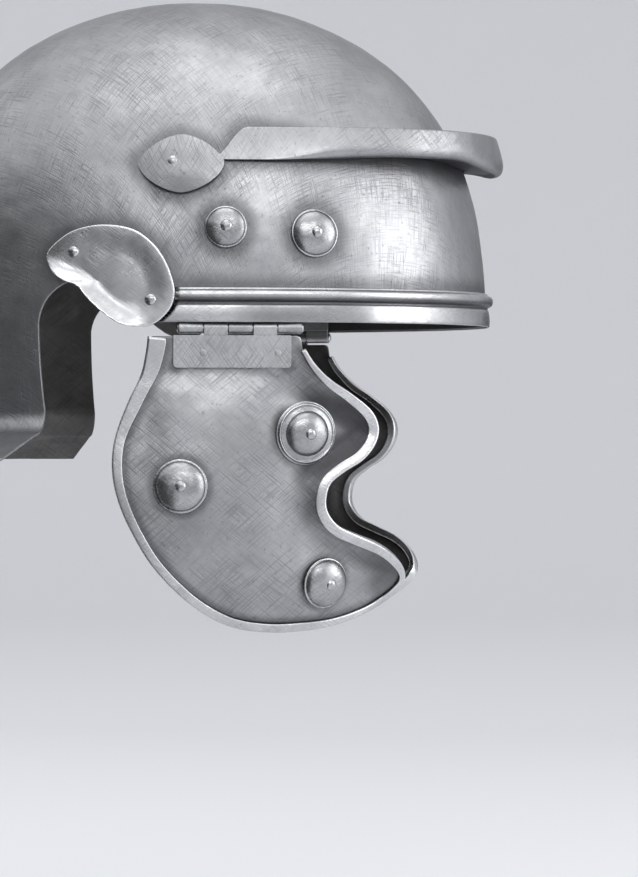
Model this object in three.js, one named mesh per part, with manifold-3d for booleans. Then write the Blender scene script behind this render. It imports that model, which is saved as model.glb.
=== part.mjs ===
// A Roman legionary helmet, in millimetres, +Z up. It faces -Y, and the wearer's right is at -X.
// Heights are measured from the lower edge of the front rim. The whole is then lowered so that
// the origin is on the inside of the crown, where the head carries it.
import * as THREE from 'three';
import { mergeVertices } from 'three/addons/utils/BufferGeometryUtils.js';
import Module from 'manifold-3d';

// Bowl: an egg-shaped plan, wider at the back, under a domed crown
const wall = 1.3;
const gap = 0.35;
const bowlHalfLength = 121.5;
const bowlHalfWidth = 102.5;
const crownHeight = 135;
const planPower = 2.2;
const domePower = 2.8;
const rearWiden = 0.05;
const rimFlare = 0.035;
const bowlColumns = 60;
const bowlRows = 10;

// Nape and neck guard, one sheet with the bowl
const napeFirstColumn = 19;
const napeDrop = 45;
const napeTuck = 0.06;
const napeRows = 4;
const neckBend = 9;
const neckBendRows = 3;
const neckRows = 3;
const neckHalfWidth = 128;
const neckSideY = 66;
const neckBackY = 203;
const neckSlopeDrop = 10;
const neckPower = 2.4;

// Ear arches cut out of the rim on each side
const archY = 35;
const archZ = -2;
const archHalfWidth = 20;
const archRise = 19;

// Brow band, a moulded strip round the front rim: out from the bowl, up from the rim
const bandSection = [
  [gap, -0.7], [1.4, -0.7], [1.3, 5], [1, 5.9], [1.2, 6.7], [2.5, 7.6], [3, 9.6], [2.5, 11.5],
  [1.2, 12.6], [gap, 12.6], [gap, 6],
];
const bandEndTurn = 96;
const bandStep = 6;

// Brow guard: a shelf with an upstanding flange, ending in a riveted tab on each side
const shelfHeight = 64.5;
const guardTop = 78;
const guardReach = 15.8;
const flangeLean = 0.2;
const guardThickness = 1.4;
const guardFullTurn = 22;
const guardStartTurn = 80;
const shelfEndTurn = 66;
const shelfStep = 6;
const tabY = -2.3;
const tabZ = 63;
const tabHalfLength = 17;
const tabHalfHeight = 12;
const tabPower = 1.6;
const flangeRise = [2, 26];
const tabRivet = [1, 63];

// Ear guards: bean-shaped plates whose lower rear edge flares out over the ear
const earThickness = 1.2;
const earFlareReach = 9;
const earFlareWidth = 11;
const earCentre = [22, 17];
const earOutline = [
  [43, 34], [34.6, 37.2], [24.9, 37.8], [15.3, 35.7], [7.6, 30], [2.6, 22.3], [-0.4, 12.7],
  [0.4, 6.4], [3.8, 1.4], [9, -2], [15.4, -2.6], [21.7, -1], [28.2, 3.6], [33.4, 8.6], [37.6, 13.6],
  [43.5, 16], [48.6, 20.5], [50.2, 27],
];
const earFlareFrom = [14.5, -3];
const earFlareTo = [38, 13];
const earRivets = [[9.1, 8.2], [40, 27.3]];

// Hinge of each cheek guard, under the rim and turned in towards the front
const hingeY = -26;
const hingeX = 96.9;
const hingeZ = -2.9;
const hingeToeIn = Math.atan(0.18);
const hingeLength = 49.5;
const knuckleRadius = 2.4;
const knuckleBore = 1.45;
const pinRadius = 1.1;
const knuckleCount = 5;
const knuckleGap = 0.4;
const leafThickness = 1;
const leafHeight = 16;
const leafGap = 3;
const cheekLeafFront = -20.3;
const cheekLeafBack = 27;
const leafRivetY = 15;
const leafRivetDrop = 10;

// Cheek guards, outlined in Y and Z from the front of the hinge round the chin to its back
const cheekThickness = 1.3;
const cheekTop = -6.3;
const cheekCentre = [-22, -75];
const cheekOutline = [
  [-49.5, cheekTop], [-51.8, -11], [-55.5, -17], [-62, -23.5], [-70, -29], [-77.5, -35.5],
  [-80.3, -42], [-79.2, -49], [-74.5, -55.5], [-67, -60.5], [-61.8, -65], [-60, -70.5],
  [-60.5, -76], [-64.5, -81.5], [-72, -85.3], [-80.5, -89.3], [-86.8, -93.5], [-90.6, -98.5],
  [-91.2, -103], [-88.4, -107.5], [-81.5, -112.8], [-73, -117.5], [-62, -121.6], [-50, -123.5],
  [-36, -124], [-22, -121.8], [-10, -115.6], [0.5, -106.7], [9.5, -96.2], [16.3, -84.5],
  [21, -74], [23.7, -63.5], [24, -53], [22, -43], [17.6, -31.5], [13, -21.8], [11, -13],
  [9.6, -8.8], [6.5, cheekTop],
];
const cheekFlatDrop = 19;
const cheekFullDrop = 122;
const cheekBulge = 54;
const cheekTurnOver = 0.806;
const cheekWrap = 6;
const cheekWrapY = -20;
const chinTurnIn = 20;
const cheekBosses = [[-3, -66, 10.8], [-51.5, -44.8, 12.8], [-58.5, -104.6, 10.2]];

// Edging, a channel folded over the edge of each cheek guard, wider at the back
const edgingFrontWidth = 3.6;
const edgingBackWidth = 5.4;
const edgingThickness = 0.8;
const edgingSlack = 0.5;
const edgingSteps = 50;

// Bosses and rivets
const bowlBosses = [[-20.4, 37.3, 8.4], [-55.1, 35, 9.7]];
const bossSides = 12;
const bossHeight = 0.42;
const bossEdge = 0.7;
const rivetSides = 8;
const shankRadius = 1.4;
const holeRadius = 1.75;
const drillLength = 16;
const tailRadius = 2.3;
const tailHeight = 0.9;
const smallHead = [2.4, 1.5];
const knobHead = [3.4, 2.4];

const mergeDistance = 1e-4;
const steel = { color: 0x75797d, roughness: 0.42, metalness: 1 };
const tinned = { color: 0xb4b7ba, roughness: 0.3, metalness: 1 };

const wasm = await Module();
wasm.setup();

// ---- Closed meshes

// Merges shared corners, drops flat triangles and turns the faces outwards.
function tidied(geometry) {
  const bare = geometry.clone();
  bare.deleteAttribute('normal');
  bare.deleteAttribute('uv');
  const merged = mergeVertices(bare, mergeDistance);
  const corners = merged.index.array;
  const kept = [];
  for (let i = 0; i < corners.length; i += 3) {
    const [a, b, c] = corners.slice(i, i + 3);
    if (a !== b && b !== c && c !== a) kept.push(a, b, c);
  }
  merged.setIndex(signedVolume(merged, kept) < 0 ? kept.reverse() : kept);
  return merged;
}

function signedVolume(geometry, corners) {
  const places = geometry.getAttribute('position');
  const [a, b, c] = [new THREE.Vector3(), new THREE.Vector3(), new THREE.Vector3()];
  let sum = 0;
  for (let i = 0; i < corners.length; i += 3) {
    a.fromBufferAttribute(places, corners[i]);
    b.fromBufferAttribute(places, corners[i + 1]);
    c.fromBufferAttribute(places, corners[i + 2]);
    sum += a.dot(b.cross(c)) / 6;
  }
  return sum;
}

function meshOf(points, triangles) {
  const geometry = new THREE.BufferGeometry();
  const numbers = points.flatMap((point) => point.toArray());
  geometry.setAttribute('position', new THREE.Float32BufferAttribute(numbers, 3));
  geometry.setIndex(triangles.flat());
  return tidied(geometry);
}

// A sheet with two faces on a grid whose columns run round and meet. front and back give the
// points of each face, and filled says which cells are there. Open edges get a wall.
function thickSheet(rows, columns, front, back, filled = () => true) {
  const points = [];
  for (let row = 0; row <= rows; row += 1) {
    for (let column = 0; column < columns; column += 1) points.push(front(row, column));
  }
  for (let row = 0; row <= rows; row += 1) {
    for (let column = 0; column < columns; column += 1) points.push(back(row, column));
  }
  const half = (rows + 1) * columns;
  const at = (row, column) => row * columns + ((column + columns) % columns);
  const there = (row, column) => row >= 0 && row < rows && filled(row, (column + columns) % columns);
  const triangles = [];
  const addWall = (a, b) => triangles.push([b, a, a + half], [b, a + half, b + half]);
  for (let row = 0; row < rows; row += 1) {
    for (let column = 0; column < columns; column += 1) {
      if (!there(row, column)) continue;
      const [a, b] = [at(row, column), at(row, column + 1)];
      const [d, c] = [at(row + 1, column), at(row + 1, column + 1)];
      triangles.push([a, b, c], [a, c, d]);
      triangles.push([a + half, c + half, b + half], [a + half, d + half, c + half]);
      if (!there(row - 1, column)) addWall(a, b);
      if (!there(row, column + 1)) addWall(b, c);
      if (!there(row + 1, column)) addWall(c, d);
      if (!there(row, column - 1)) addWall(d, a);
    }
  }
  return meshOf(points, triangles);
}

// A solid whose cross-section, an outline of [a, b] pairs, is placed at each station in turn.
function sweptSection(section, stations, place) {
  const size = section.length;
  const points = [];
  for (const station of stations) {
    for (const [a, b] of section) points.push(place(station, a, b));
  }
  const triangles = [];
  for (let k = 0; k + 1 < stations.length; k += 1) {
    for (let i = 0; i < size; i += 1) {
      const [a, b] = [k * size + i, k * size + ((i + 1) % size)];
      triangles.push([a, b, b + size], [a, b + size, a + size]);
    }
  }
  const last = (stations.length - 1) * size;
  const flat = section.map(([a, b]) => new THREE.Vector2(a, b));
  const winding = THREE.ShapeUtils.isClockWise(flat) ? 1 : -1;
  for (const [a, b, c] of THREE.ShapeUtils.triangulateShape(flat, [])) {
    const [one, two] = winding > 0 ? [b, c] : [c, b];
    triangles.push([a, one, two], [last + a, last + two, last + one]);
  }
  return meshOf(points, triangles);
}

function toSolid(geometry) {
  const shape = tidied(geometry);
  const vertProperties = new Float32Array(shape.getAttribute('position').array);
  const triVerts = new Uint32Array(shape.index.array);
  return new wasm.Manifold(new wasm.Mesh({ numProp: 3, vertProperties, triVerts }));
}

function toGeometry(solid) {
  const { vertProperties, triVerts } = solid.getMesh();
  const geometry = new THREE.BufferGeometry();
  geometry.setAttribute('position', new THREE.BufferAttribute(vertProperties, 3));
  geometry.setIndex(new THREE.BufferAttribute(triVerts, 1));
  return geometry;
}

function joined(geometries) {
  return toGeometry(geometries.map(toSolid).reduce((whole, next) => whole.add(next)));
}

function cutBy(geometry, cutters) {
  return toGeometry(cutters.map(toSolid).reduce((whole, next) => whole.subtract(next), toSolid(geometry)));
}

function mirrored(geometry) {
  const other = geometry.clone();
  other.scale(-1, 1, 1);
  return tidied(other);
}

// ---- Bowl surface

function signedPower(value, power) {
  return Math.sign(value) * Math.abs(value) ** power;
}

const { smoothstep } = THREE.MathUtils;

// How far the plan has drawn in at a height: 1 at the rim, 0 at the crown.
function planShrink(z) {
  if (z < 0) return 1 - napeTuck * (z / napeDrop) ** 2;
  const up = Math.min(z / crownHeight, 1);
  return Math.sqrt(1 - up ** domePower) * (1 + rimFlare * (1 - up)) / (1 + rimFlare);
}

// A point of the outer surface. The turn is in degrees from the front towards +X.
function bowlPoint(turn, z) {
  const angle = THREE.MathUtils.degToRad(turn);
  const shrink = planShrink(z);
  const x = bowlHalfWidth * shrink * signedPower(Math.sin(angle), 2 / planPower);
  const y = -bowlHalfLength * shrink * signedPower(Math.cos(angle), 2 / planPower);
  return new THREE.Vector3(x * (1 + rearWiden * y / bowlHalfLength), y, z);
}

// The turn at which the bowl at this height has this Y, on the +X side.
function turnAt(y, z) {
  const share = THREE.MathUtils.clamp(-y / (bowlHalfLength * planShrink(z)), -1, 1);
  return THREE.MathUtils.radToDeg(Math.acos(signedPower(share, planPower / 2)));
}

// The level direction away from the bowl at a turn.
function levelOutward(turn, z) {
  const along = bowlPoint(turn + 0.5, z).sub(bowlPoint(turn - 0.5, z));
  return new THREE.Vector3(-along.y, along.x, 0).normalize().negate();
}

// The direction square to the bowl's surface.
function bowlNormal(turn, z) {
  const along = bowlPoint(turn + 0.5, z).sub(bowlPoint(turn - 0.5, z));
  const upward = bowlPoint(turn, z + 0.5).sub(bowlPoint(turn, z - 0.5));
  return along.cross(upward).normalize();
}

// A point on the wearer's right of the bowl, out from its surface by the given distance.
function rightOfBowl(y, z, out = 0) {
  const turn = -turnAt(y, z);
  return bowlPoint(turn, z).addScaledVector(bowlNormal(turn, z), out);
}

// ---- Bowl, nape and neck guard

// The neck guard's outer edge, from the side (share 0) to the middle of the back (share 1).
function neckEdge(share) {
  const angle = share * Math.PI / 2;
  const x = neckHalfWidth * signedPower(Math.cos(angle), 2 / neckPower);
  const y = neckSideY + (neckBackY - neckSideY) * signedPower(Math.sin(angle), 2 / neckPower);
  return [x, y];
}

// Rows 0 to bowlRows go from the crown to the rim, the next rows down the nape, round the bend
// and out to the neck guard's edge.
function skinPoint(row, column) {
  const turn = column * 360 / bowlColumns;
  if (row <= bowlRows) {
    const rise = Math.PI / 2 * (1 - row / bowlRows);
    return bowlPoint(turn, crownHeight * Math.sin(rise) ** (2 / domePower));
  }
  const straight = napeDrop - neckBend;
  if (row <= bowlRows + napeRows) return bowlPoint(turn, -straight * (row - bowlRows) / napeRows);
  const start = bowlPoint(turn, -straight);
  const outward = levelOutward(turn, -straight);
  const bendShare = Math.min((row - bowlRows - napeRows) / neckBendRows, 1);
  const bend = bendShare * Math.PI / 2;
  start.addScaledVector(outward, neckBend * (1 - Math.cos(bend)));
  start.z -= neckBend * Math.sin(bend);
  const outShare = Math.max((row - bowlRows - napeRows - neckBendRows) / neckRows, 0);
  const share = 1 - Math.abs(turn - 180) / (180 - napeFirstColumn * 360 / bowlColumns);
  const [x, y] = neckEdge(share);
  const edge = new THREE.Vector3(Math.sign(start.x) * x, y, -napeDrop - neckSlopeDrop);
  if (Math.abs(start.x) < 0.001) edge.x = 0;
  return start.lerp(edge, outShare);
}

function skinNormal(row, column, lastRow) {
  if (row === 0) return new THREE.Vector3(0, 0, 1);
  const nape = column >= napeFirstColumn && column <= bowlColumns - napeFirstColumn;
  const left = nape && row > bowlRows ? Math.max(column - 1, napeFirstColumn) : column - 1;
  const right = nape && row > bowlRows
    ? Math.min(column + 1, bowlColumns - napeFirstColumn) : column + 1;
  const along = skinPoint(row, right).sub(skinPoint(row, left));
  const down = skinPoint(Math.min(row + 1, lastRow(column)), column).sub(skinPoint(row - 1, column));
  return down.cross(along).normalize();
}

function archCutter() {
  const arch = new THREE.Shape().absellipse(archY, archZ, archHalfWidth, archRise, 0, 2 * Math.PI);
  const options = { depth: 3 * bowlHalfWidth, bevelEnabled: false, curveSegments: 8 };
  return sideways(new THREE.ExtrudeGeometry(arch, options).translate(0, 0, -1.5 * bowlHalfWidth));
}

// Turns a shape drawn in X and Y, and extruded along Z, so that it is drawn in Y and Z.
function sideways(geometry) {
  const turned = geometry.clone();
  turned.applyMatrix4(new THREE.Matrix4().makeBasis(
    new THREE.Vector3(0, 1, 0), new THREE.Vector3(0, 0, 1), new THREE.Vector3(1, 0, 0),
  ));
  return turned;
}

// A cylinder that drills a rivet's hole, square to the surface.
function drill(place, normal) {
  const cylinder = new THREE.CylinderGeometry(holeRadius, holeRadius, drillLength, rivetSides);
  cylinder.rotateX(Math.PI / 2);
  cylinder.applyQuaternion(facing(normal));
  cylinder.translate(place.x, place.y, place.z);
  return cylinder;
}

function facing(normal) {
  return new THREE.Quaternion().setFromUnitVectors(new THREE.Vector3(0, 0, 1), normal);
}

function bothSides(cutters) {
  return cutters.flatMap((cutter) => [cutter, mirrored(cutter)]);
}

function bowlGeometry() {
  const rows = bowlRows + napeRows + neckBendRows + neckRows;
  const isNape = (column) => column >= napeFirstColumn && column < bowlColumns - napeFirstColumn;
  const lastRow = (column) => {
    const behind = column >= napeFirstColumn && column <= bowlColumns - napeFirstColumn;
    return behind ? rows : bowlRows;
  };
  const inner = (row, column) => {
    if (row > lastRow(column)) return skinPoint(row, column);
    return skinPoint(row, column).addScaledVector(skinNormal(row, column, lastRow), -wall);
  };
  const filled = (row, column) => row < bowlRows || isNape(column);
  const skin = thickSheet(rows, bowlColumns, skinPoint, inner, filled);
  const holes = [...earRivets, ...bowlBosses, tabRivet].map(([y, z]) => drillRightOfBowl(y, z));
  return cutBy(skin, [archCutter(), ...bothSides([...holes, ...leafDrills(1)])]);
}

function drillRightOfBowl(y, z) {
  const turn = -turnAt(y, z);
  return drill(bowlPoint(turn, z), bowlNormal(turn, z));
}

// ---- Brow band

function browBandGeometry() {
  const turns = [];
  for (let turn = -bandEndTurn; turn <= bandEndTurn; turn += bandStep) turns.push(turn);
  const band = sweptSection(bandSection, turns, (turn, out, z) => (
    bowlPoint(turn, z).addScaledVector(levelOutward(turn, z), out)
  ));
  return cutBy(band, bothSides([earClearance()]));
}

// The ear guard's outline, grown a little and run right through, which the band stops short of.
function earClearance() {
  const grown = earOutline.map(([y, z]) => {
    const away = new THREE.Vector2(y - earCentre[0], z - earCentre[1]);
    return new THREE.Vector2(y, z).addScaledVector(away.normalize(), 2 * gap);
  });
  const shape = new THREE.Shape(new THREE.SplineCurve([...grown, grown[0]]).getPoints(48).slice(0, -1));
  const options = { depth: 2 * bowlHalfWidth, bevelEnabled: false };
  return sideways(new THREE.ExtrudeGeometry(shape, options).translate(0, 0, -2.5 * bowlHalfWidth));
}

// ---- Brow guard

function guardOut(turn) {
  return guardReach * (1 - smoothstep(Math.abs(turn), guardFullTurn, guardStartTurn));
}

// The lower and upper edge of the flange and its tab at a Y.
function flangeEdges(y) {
  const along = Math.abs((y - tabY) / tabHalfLength);
  const half = along < 1 ? tabHalfHeight * (1 - along ** tabPower) ** (1 / tabPower) : 0;
  const rise = (guardTop - tabZ) * smoothstep(-y, ...flangeRise);
  const low = y < tabY - tabHalfLength ? shelfHeight : tabZ - half;
  return [Math.min(low, shelfHeight), Math.max(tabZ + half, tabZ + rise)];
}

function flangeStations() {
  const turns = [];
  for (let turn = 0; turn < 74; turn += shelfStep) turns.push(turn);
  for (let turn = 75; turn < 95; turn += 2) turns.push(turn);
  const tip = turnAt(tabY + tabHalfLength - 0.4, tabZ);
  turns.push(tip);
  return [...turns.slice(1).map((turn) => -turn).reverse(), ...turns];
}

function flangeGeometry() {
  const levels = 3;
  const outer = [];
  const inner = [];
  for (let level = 0; level <= levels; level += 1) {
    outer.push([gap + guardThickness, level / levels]);
    inner.unshift([gap, level / levels]);
  }
  return sweptSection([...outer, ...inner], flangeStations(), (turn, out, share) => {
    const [low, high] = flangeEdges(bowlPoint(turn, shelfHeight).y);
    const z = low + (high - low) * share;
    const lean = flangeLean * (z - shelfHeight) * guardOut(turn) / guardReach;
    return bowlPoint(turn, z).addScaledVector(levelOutward(turn, z), out + guardOut(turn) + lean);
  });
}

function shelfGeometry() {
  const section = [[0, 0], [1, 0], [1, guardThickness], [0, guardThickness]];
  const turns = [];
  for (let turn = -shelfEndTurn; turn <= shelfEndTurn; turn += shelfStep) turns.push(turn);
  return sweptSection(section, turns, (turn, share, up) => {
    const z = shelfHeight + up;
    const out = gap + share * (guardOut(turn) + guardThickness / 2);
    return bowlPoint(turn, z).addScaledVector(levelOutward(turn, z), out);
  });
}

function browGuardGeometry() {
  const whole = joined([flangeGeometry(), shelfGeometry()]);
  return cutBy(whole, bothSides([drillRightOfBowl(...tabRivet)]));
}

// ---- Plates cut to an outline

// An outline of evenly spaced points through the given ones.
function smoothOutline(outline, count) {
  const curve = new THREE.SplineCurve([...outline, outline[0]].map(([y, z]) => new THREE.Vector2(y, z)));
  return curve.getSpacedPoints(count).slice(0, -1);
}

// A plate between two surfaces, made of rings that shrink from the outline to a centre.
function outlinedPlate(outline, centre, rings, front, back) {
  const middle = new THREE.Vector2(...centre);
  const place = (face) => (row, column) => {
    const { x, y } = middle.clone().lerp(outline[column], rings[row]);
    return face(x, y);
  };
  return thickSheet(rings.length - 1, outline.length, place(front), place(back));
}

// How far the ear guard stands off the bowl: it lies on it, and flares towards its lower rear edge.
function earLift(y, z) {
  const line = new THREE.Line3(new THREE.Vector3(...earFlareFrom, 0), new THREE.Vector3(...earFlareTo, 0));
  const point = new THREE.Vector3(y, z, 0);
  const away = point.distanceTo(line.closestPointToPoint(point, true, new THREE.Vector3()));
  return gap + earFlareReach * Math.max(1 - away / earFlareWidth, 0) ** 1.7;
}

function earGuardGeometry() {
  const outline = smoothOutline(earOutline, 38);
  const plate = outlinedPlate(
    outline, earCentre, [0, 0.4, 0.7, 1],
    (y, z) => rightOfBowl(y, z, earLift(y, z) + earThickness),
    (y, z) => rightOfBowl(y, z, earLift(y, z)),
  );
  return cutBy(plate, earRivets.map(([y, z]) => drillRightOfBowl(y, z)));
}

// ---- Cheek guards

// How far the hinge's axis is from the middle plane at a Y.
function hingeOut(y) {
  return hingeX + Math.tan(hingeToeIn) * (y - hingeY);
}

// The middle surface of a cheek guard: flat under the hinge, then bulging over the cheek and
// turning in along its edges, below the jaw and at the chin.
function cheekOut(y, z) {
  const drop = hingeZ - z;
  const down = Math.max((drop - cheekFlatDrop) / (cheekFullDrop - cheekFlatDrop), 0);
  const bulge = cheekBulge * down ** 1.4 * (cheekTurnOver - down);
  const wrap = cheekWrap * ((y - cheekWrapY) / 50) ** 2 * smoothstep(drop, 12, 45);
  const chin = chinTurnIn * smoothstep(-y, 48, 100) * smoothstep(drop, 70, 110);
  return hingeOut(y) + knuckleRadius - leafThickness - gap - cheekThickness / 2 + bulge - wrap - chin;
}

function cheekNormal(y, z) {
  const along = cheekOut(y + 0.5, z) - cheekOut(y - 0.5, z);
  const up = cheekOut(y, z + 0.5) - cheekOut(y, z - 0.5);
  return new THREE.Vector3(-1, -along, -up).normalize();
}

// A point on the wearer's right cheek guard, out from its middle surface by the given distance.
function cheekPoint(y, z, out = 0) {
  return new THREE.Vector3(-cheekOut(y, z), y, z).addScaledVector(cheekNormal(y, z), out);
}

// The edging runs round the guard from one end of the hinge to the other, not along its top.
function edgingPath(count) {
  const points = cheekOutline.slice(1, -1).map(([y, z]) => new THREE.Vector2(y, z));
  const curve = new THREE.SplineCurve(points);
  const stations = [];
  for (let k = 0; k <= count; k += 1) {
    const place = curve.getPointAt(k / count);
    const tangent = curve.getTangentAt(k / count);
    const width = THREE.MathUtils.lerp(edgingFrontWidth, edgingBackWidth, smoothstep(k / count, 0.3, 0.7));
    stations.push({ place, width, inward: new THREE.Vector2(-tangent.y, tangent.x) });
  }
  return stations;
}

function cheekGuardGeometry() {
  const inset = edgingThickness + gap;
  const edge = edgingPath(edgingSteps).map(({ place, inward }) => place.addScaledVector(inward, inset));
  const front = new THREE.Vector2(...cheekOutline[0]);
  const back = new THREE.Vector2(...cheekOutline.at(-1));
  const top = [0.25, 0.5, 0.75].map((share) => back.clone().lerp(front, share));
  const outline = [front, ...edge, back, ...top];
  const half = cheekThickness / 2;
  const plate = outlinedPlate(
    outline, cheekCentre, [0, 0.3, 0.55, 0.77, 0.92, 1],
    (y, z) => cheekPoint(y, z, half),
    (y, z) => cheekPoint(y, z, -half),
  );
  const bossDrills = cheekBosses.map(([y, z]) => drill(cheekPoint(y, z), cheekNormal(y, z)));
  return cutBy(plate, [...bossDrills, ...leafDrills(-1)]);
}

function cheekEdgingGeometry() {
  const slot = cheekThickness / 2 + edgingSlack;
  const skin = slot + edgingThickness;
  const section = [
    [0, -skin], [1, -skin], [1, -slot], [edgingThickness / edgingFrontWidth, -slot],
    [edgingThickness / edgingFrontWidth, slot], [1, slot], [1, skin], [0, skin],
  ];
  return sweptSection(section, edgingPath(edgingSteps), ({ place, width, inward }, share, out) => {
    const into = share < 1 ? share * edgingFrontWidth : width;
    const { x, y } = place.clone().addScaledVector(inward, into);
    return cheekPoint(x, y, out);
  });
}

// ---- Hinges, drawn along Y with the wearer's right at -X, then turned in

function hingePlaced(geometry) {
  const placed = geometry.clone();
  placed.rotateZ(hingeToeIn);
  placed.translate(-hingeX, hingeY, hingeZ);
  return placed;
}

function box(from, to) {
  const size = to.map((value, i) => value - from[i]);
  const solid = new THREE.BoxGeometry(...size);
  solid.translate(...from.map((value, i) => value + size[i] / 2));
  return solid;
}

function knuckle(from, to) {
  const profile = [[knuckleBore, from], [knuckleRadius, from], [knuckleRadius, to], [knuckleBore, to]];
  const points = [...profile, profile[0]].map(([r, along]) => new THREE.Vector2(r, along));
  return new THREE.LatheGeometry(points, 12);
}

// A leaf stands up inside the bowl (side 1) or lies down outside the cheek guard (side -1).
function leafGeometry(side) {
  const pitch = hingeLength / knuckleCount;
  const near = side * (knuckleRadius - leafThickness);
  const far = side * knuckleRadius;
  const slab = (start, end, from, to) => {
    const xs = [near, far].sort((a, b) => a - b);
    const zs = [side * from, side * to].sort((a, b) => a - b);
    return box([xs[0], start, zs[0]], [xs[1], end, zs[1]]);
  };
  const [front, back] = side > 0 ? [-hingeLength / 2, hingeLength / 2] : [cheekLeafFront, cheekLeafBack];
  const pieces = [slab(front, back, leafGap, leafHeight)];
  for (let i = side > 0 ? 0 : 1; i < knuckleCount; i += 2) {
    const start = -hingeLength / 2 + i * pitch + knuckleGap / 2;
    const end = start + pitch - knuckleGap;
    pieces.push(cutBy(
      joined([knuckle(start, end), slab(start, end, 0, leafGap + 0.1)]),
      [new THREE.CylinderGeometry(knuckleBore, knuckleBore, 3 * hingeLength, 12)],
    ));
  }
  return cutBy(hingePlaced(joined(pieces)), leafDrills(side));
}

// The places of a leaf's rivets, on the hinge's centre plane.
function leafRivetPlaces(side) {
  const axis = hingePlaced(new THREE.BufferGeometry().setFromPoints([
    new THREE.Vector3(0, -leafRivetY, side * leafRivetDrop),
    new THREE.Vector3(0, leafRivetY, side * leafRivetDrop),
  ])).getAttribute('position');
  return [0, 1].map((i) => new THREE.Vector3().fromBufferAttribute(axis, i));
}

function hingeOutward() {
  return new THREE.Vector3(-Math.cos(hingeToeIn), -Math.sin(hingeToeIn), 0);
}

function leafDrills(side) {
  return leafRivetPlaces(side).map((place) => drill(place, hingeOutward()));
}

function pinGeometry() {
  return hingePlaced(new THREE.CylinderGeometry(pinRadius, pinRadius, hingeLength, 10));
}

// ---- Bosses and rivets, drawn upright on Z

function bossGeometry(radius) {
  const height = bossHeight * radius;
  const profile = [
    [holeRadius, 0], [radius, 0], [radius, bossEdge], [0.86 * radius, 1.3 * bossEdge],
    [0.7 * radius, 0.62 * height], [0.42 * radius, 0.92 * height], [holeRadius, height],
    [holeRadius, 0],
  ];
  const lathe = new THREE.LatheGeometry(profile.map(([r, z]) => new THREE.Vector2(r, z)), bossSides);
  return lathe.rotateX(Math.PI / 2);
}

// A rivet whose head sits on the surface at z 0 and whose tail is spread below the grip.
function rivetGeometry(headRadius, headHeight, grip) {
  const profile = [
    [0, headHeight], [0.7 * headRadius, 0.75 * headHeight], [headRadius, 0], [shankRadius, 0],
    [shankRadius, -grip], [tailRadius, -grip], [0, -grip - tailHeight],
  ];
  const lathe = new THREE.LatheGeometry(
    profile.reverse().map(([r, z]) => new THREE.Vector2(r, z)), rivetSides,
  );
  return lathe.rotateX(Math.PI / 2);
}

// A rivet with no head, flush with the outer face and spread on the inner one.
function flushRivetGeometry(length) {
  const profile = [
    [0, -length - tailHeight], [tailRadius, -length], [shankRadius, -length], [shankRadius, 0], [0, 0],
  ];
  const lathe = new THREE.LatheGeometry(profile.map(([r, z]) => new THREE.Vector2(r, z)), rivetSides);
  return lathe.rotateX(Math.PI / 2);
}

// ---- The helmet

const helmet = new THREE.Group();
helmet.position.z = wall - crownHeight;

function add(name, geometry, finish) {
  const mesh = new THREE.Mesh(tidied(geometry), new THREE.MeshStandardMaterial(finish));
  mesh.name = name;
  helmet.add(mesh);
  return mesh;
}

// Adds a piece drawn for the wearer's right, and its mirror image for the left.
function addPair(name, geometry, finish) {
  add(`${name}_right`, geometry, finish);
  add(`${name}_left`, mirrored(geometry), finish);
}

// Adds a turned piece, and its mirror image, seated on a surface point along its normal.
function addSeated(name, geometry, finish, place, normal, out) {
  for (const [side, sign] of [['right', 1], ['left', -1]]) {
    const mesh = add(`${name}_${side}`, geometry, finish);
    mesh.position.copy(place).addScaledVector(normal, out);
    mesh.position.x *= sign;
    mesh.quaternion.copy(facing(new THREE.Vector3(sign * normal.x, normal.y, normal.z)));
  }
}

// How far a flat disc on a surface has to stand off its middle to clear it all round.
function standOff(surface, y, z, normal, radius) {
  const place = surface(y, z);
  const heights = [];
  for (let angle = 0; angle < 2 * Math.PI; angle += Math.PI / 6) {
    const beside = surface(y + radius * Math.cos(angle), z + radius * Math.sin(angle));
    heights.push(beside.sub(place).dot(normal));
  }
  return gap + Math.max(0, ...heights);
}

function addBowlRivet(name, [y, z], seat) {
  const turn = -turnAt(y, z);
  const rivet = rivetGeometry(...smallHead, seat + wall + 2 * gap);
  addSeated(name, rivet, tinned, bowlPoint(turn, z), bowlNormal(turn, z), seat);
}

function addBowlBosses() {
  bowlBosses.forEach(([y, z, radius], i) => {
    const turn = -turnAt(y, z);
    const name = `bowl_boss_${i + 1}`;
    addSeated(name, bossGeometry(radius), tinned, bowlPoint(turn, z), bowlNormal(turn, z), gap);
    addBowlRivet(`${name}_rivet`, [y, z], bossHeight * radius + 2 * gap);
  });
}

function addCheekBosses() {
  const half = cheekThickness / 2;
  cheekBosses.forEach(([y, z, radius], i) => {
    const name = `cheek_boss_${i + 1}`;
    const [place, normal] = [cheekPoint(y, z), cheekNormal(y, z)];
    const base = half + standOff(cheekPoint, y, z, normal, radius);
    const seat = base + bossHeight * radius + gap;
    const knob = rivetGeometry(...knobHead, seat + half + 2 * gap);
    addSeated(name, bossGeometry(radius), tinned, place, normal, base);
    addSeated(`${name}_rivet`, knob, tinned, place, normal, seat);
  });
}

// Two rivets hold each leaf. They run from just under the outer face to the leaf's inner one.
function addLeafRivets() {
  const bowlFace = Math.abs(rightOfBowl(hingeY, leafRivetDrop).x) - hingeX;
  const spans = [
    ['bowl', 1, bowlFace - wall / 2, -knuckleRadius - gap],
    ['cheek', -1, knuckleRadius, knuckleRadius - leafThickness - cheekThickness - 2 * gap],
  ];
  for (const [part, side, outer, inner] of spans) {
    leafRivetPlaces(side).forEach((place, i) => {
      const rivet = flushRivetGeometry(outer - inner);
      addSeated(`${part}_leaf_rivet_${i + 1}`, rivet, tinned, place, hingeOutward(), outer);
    });
  }
}

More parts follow.
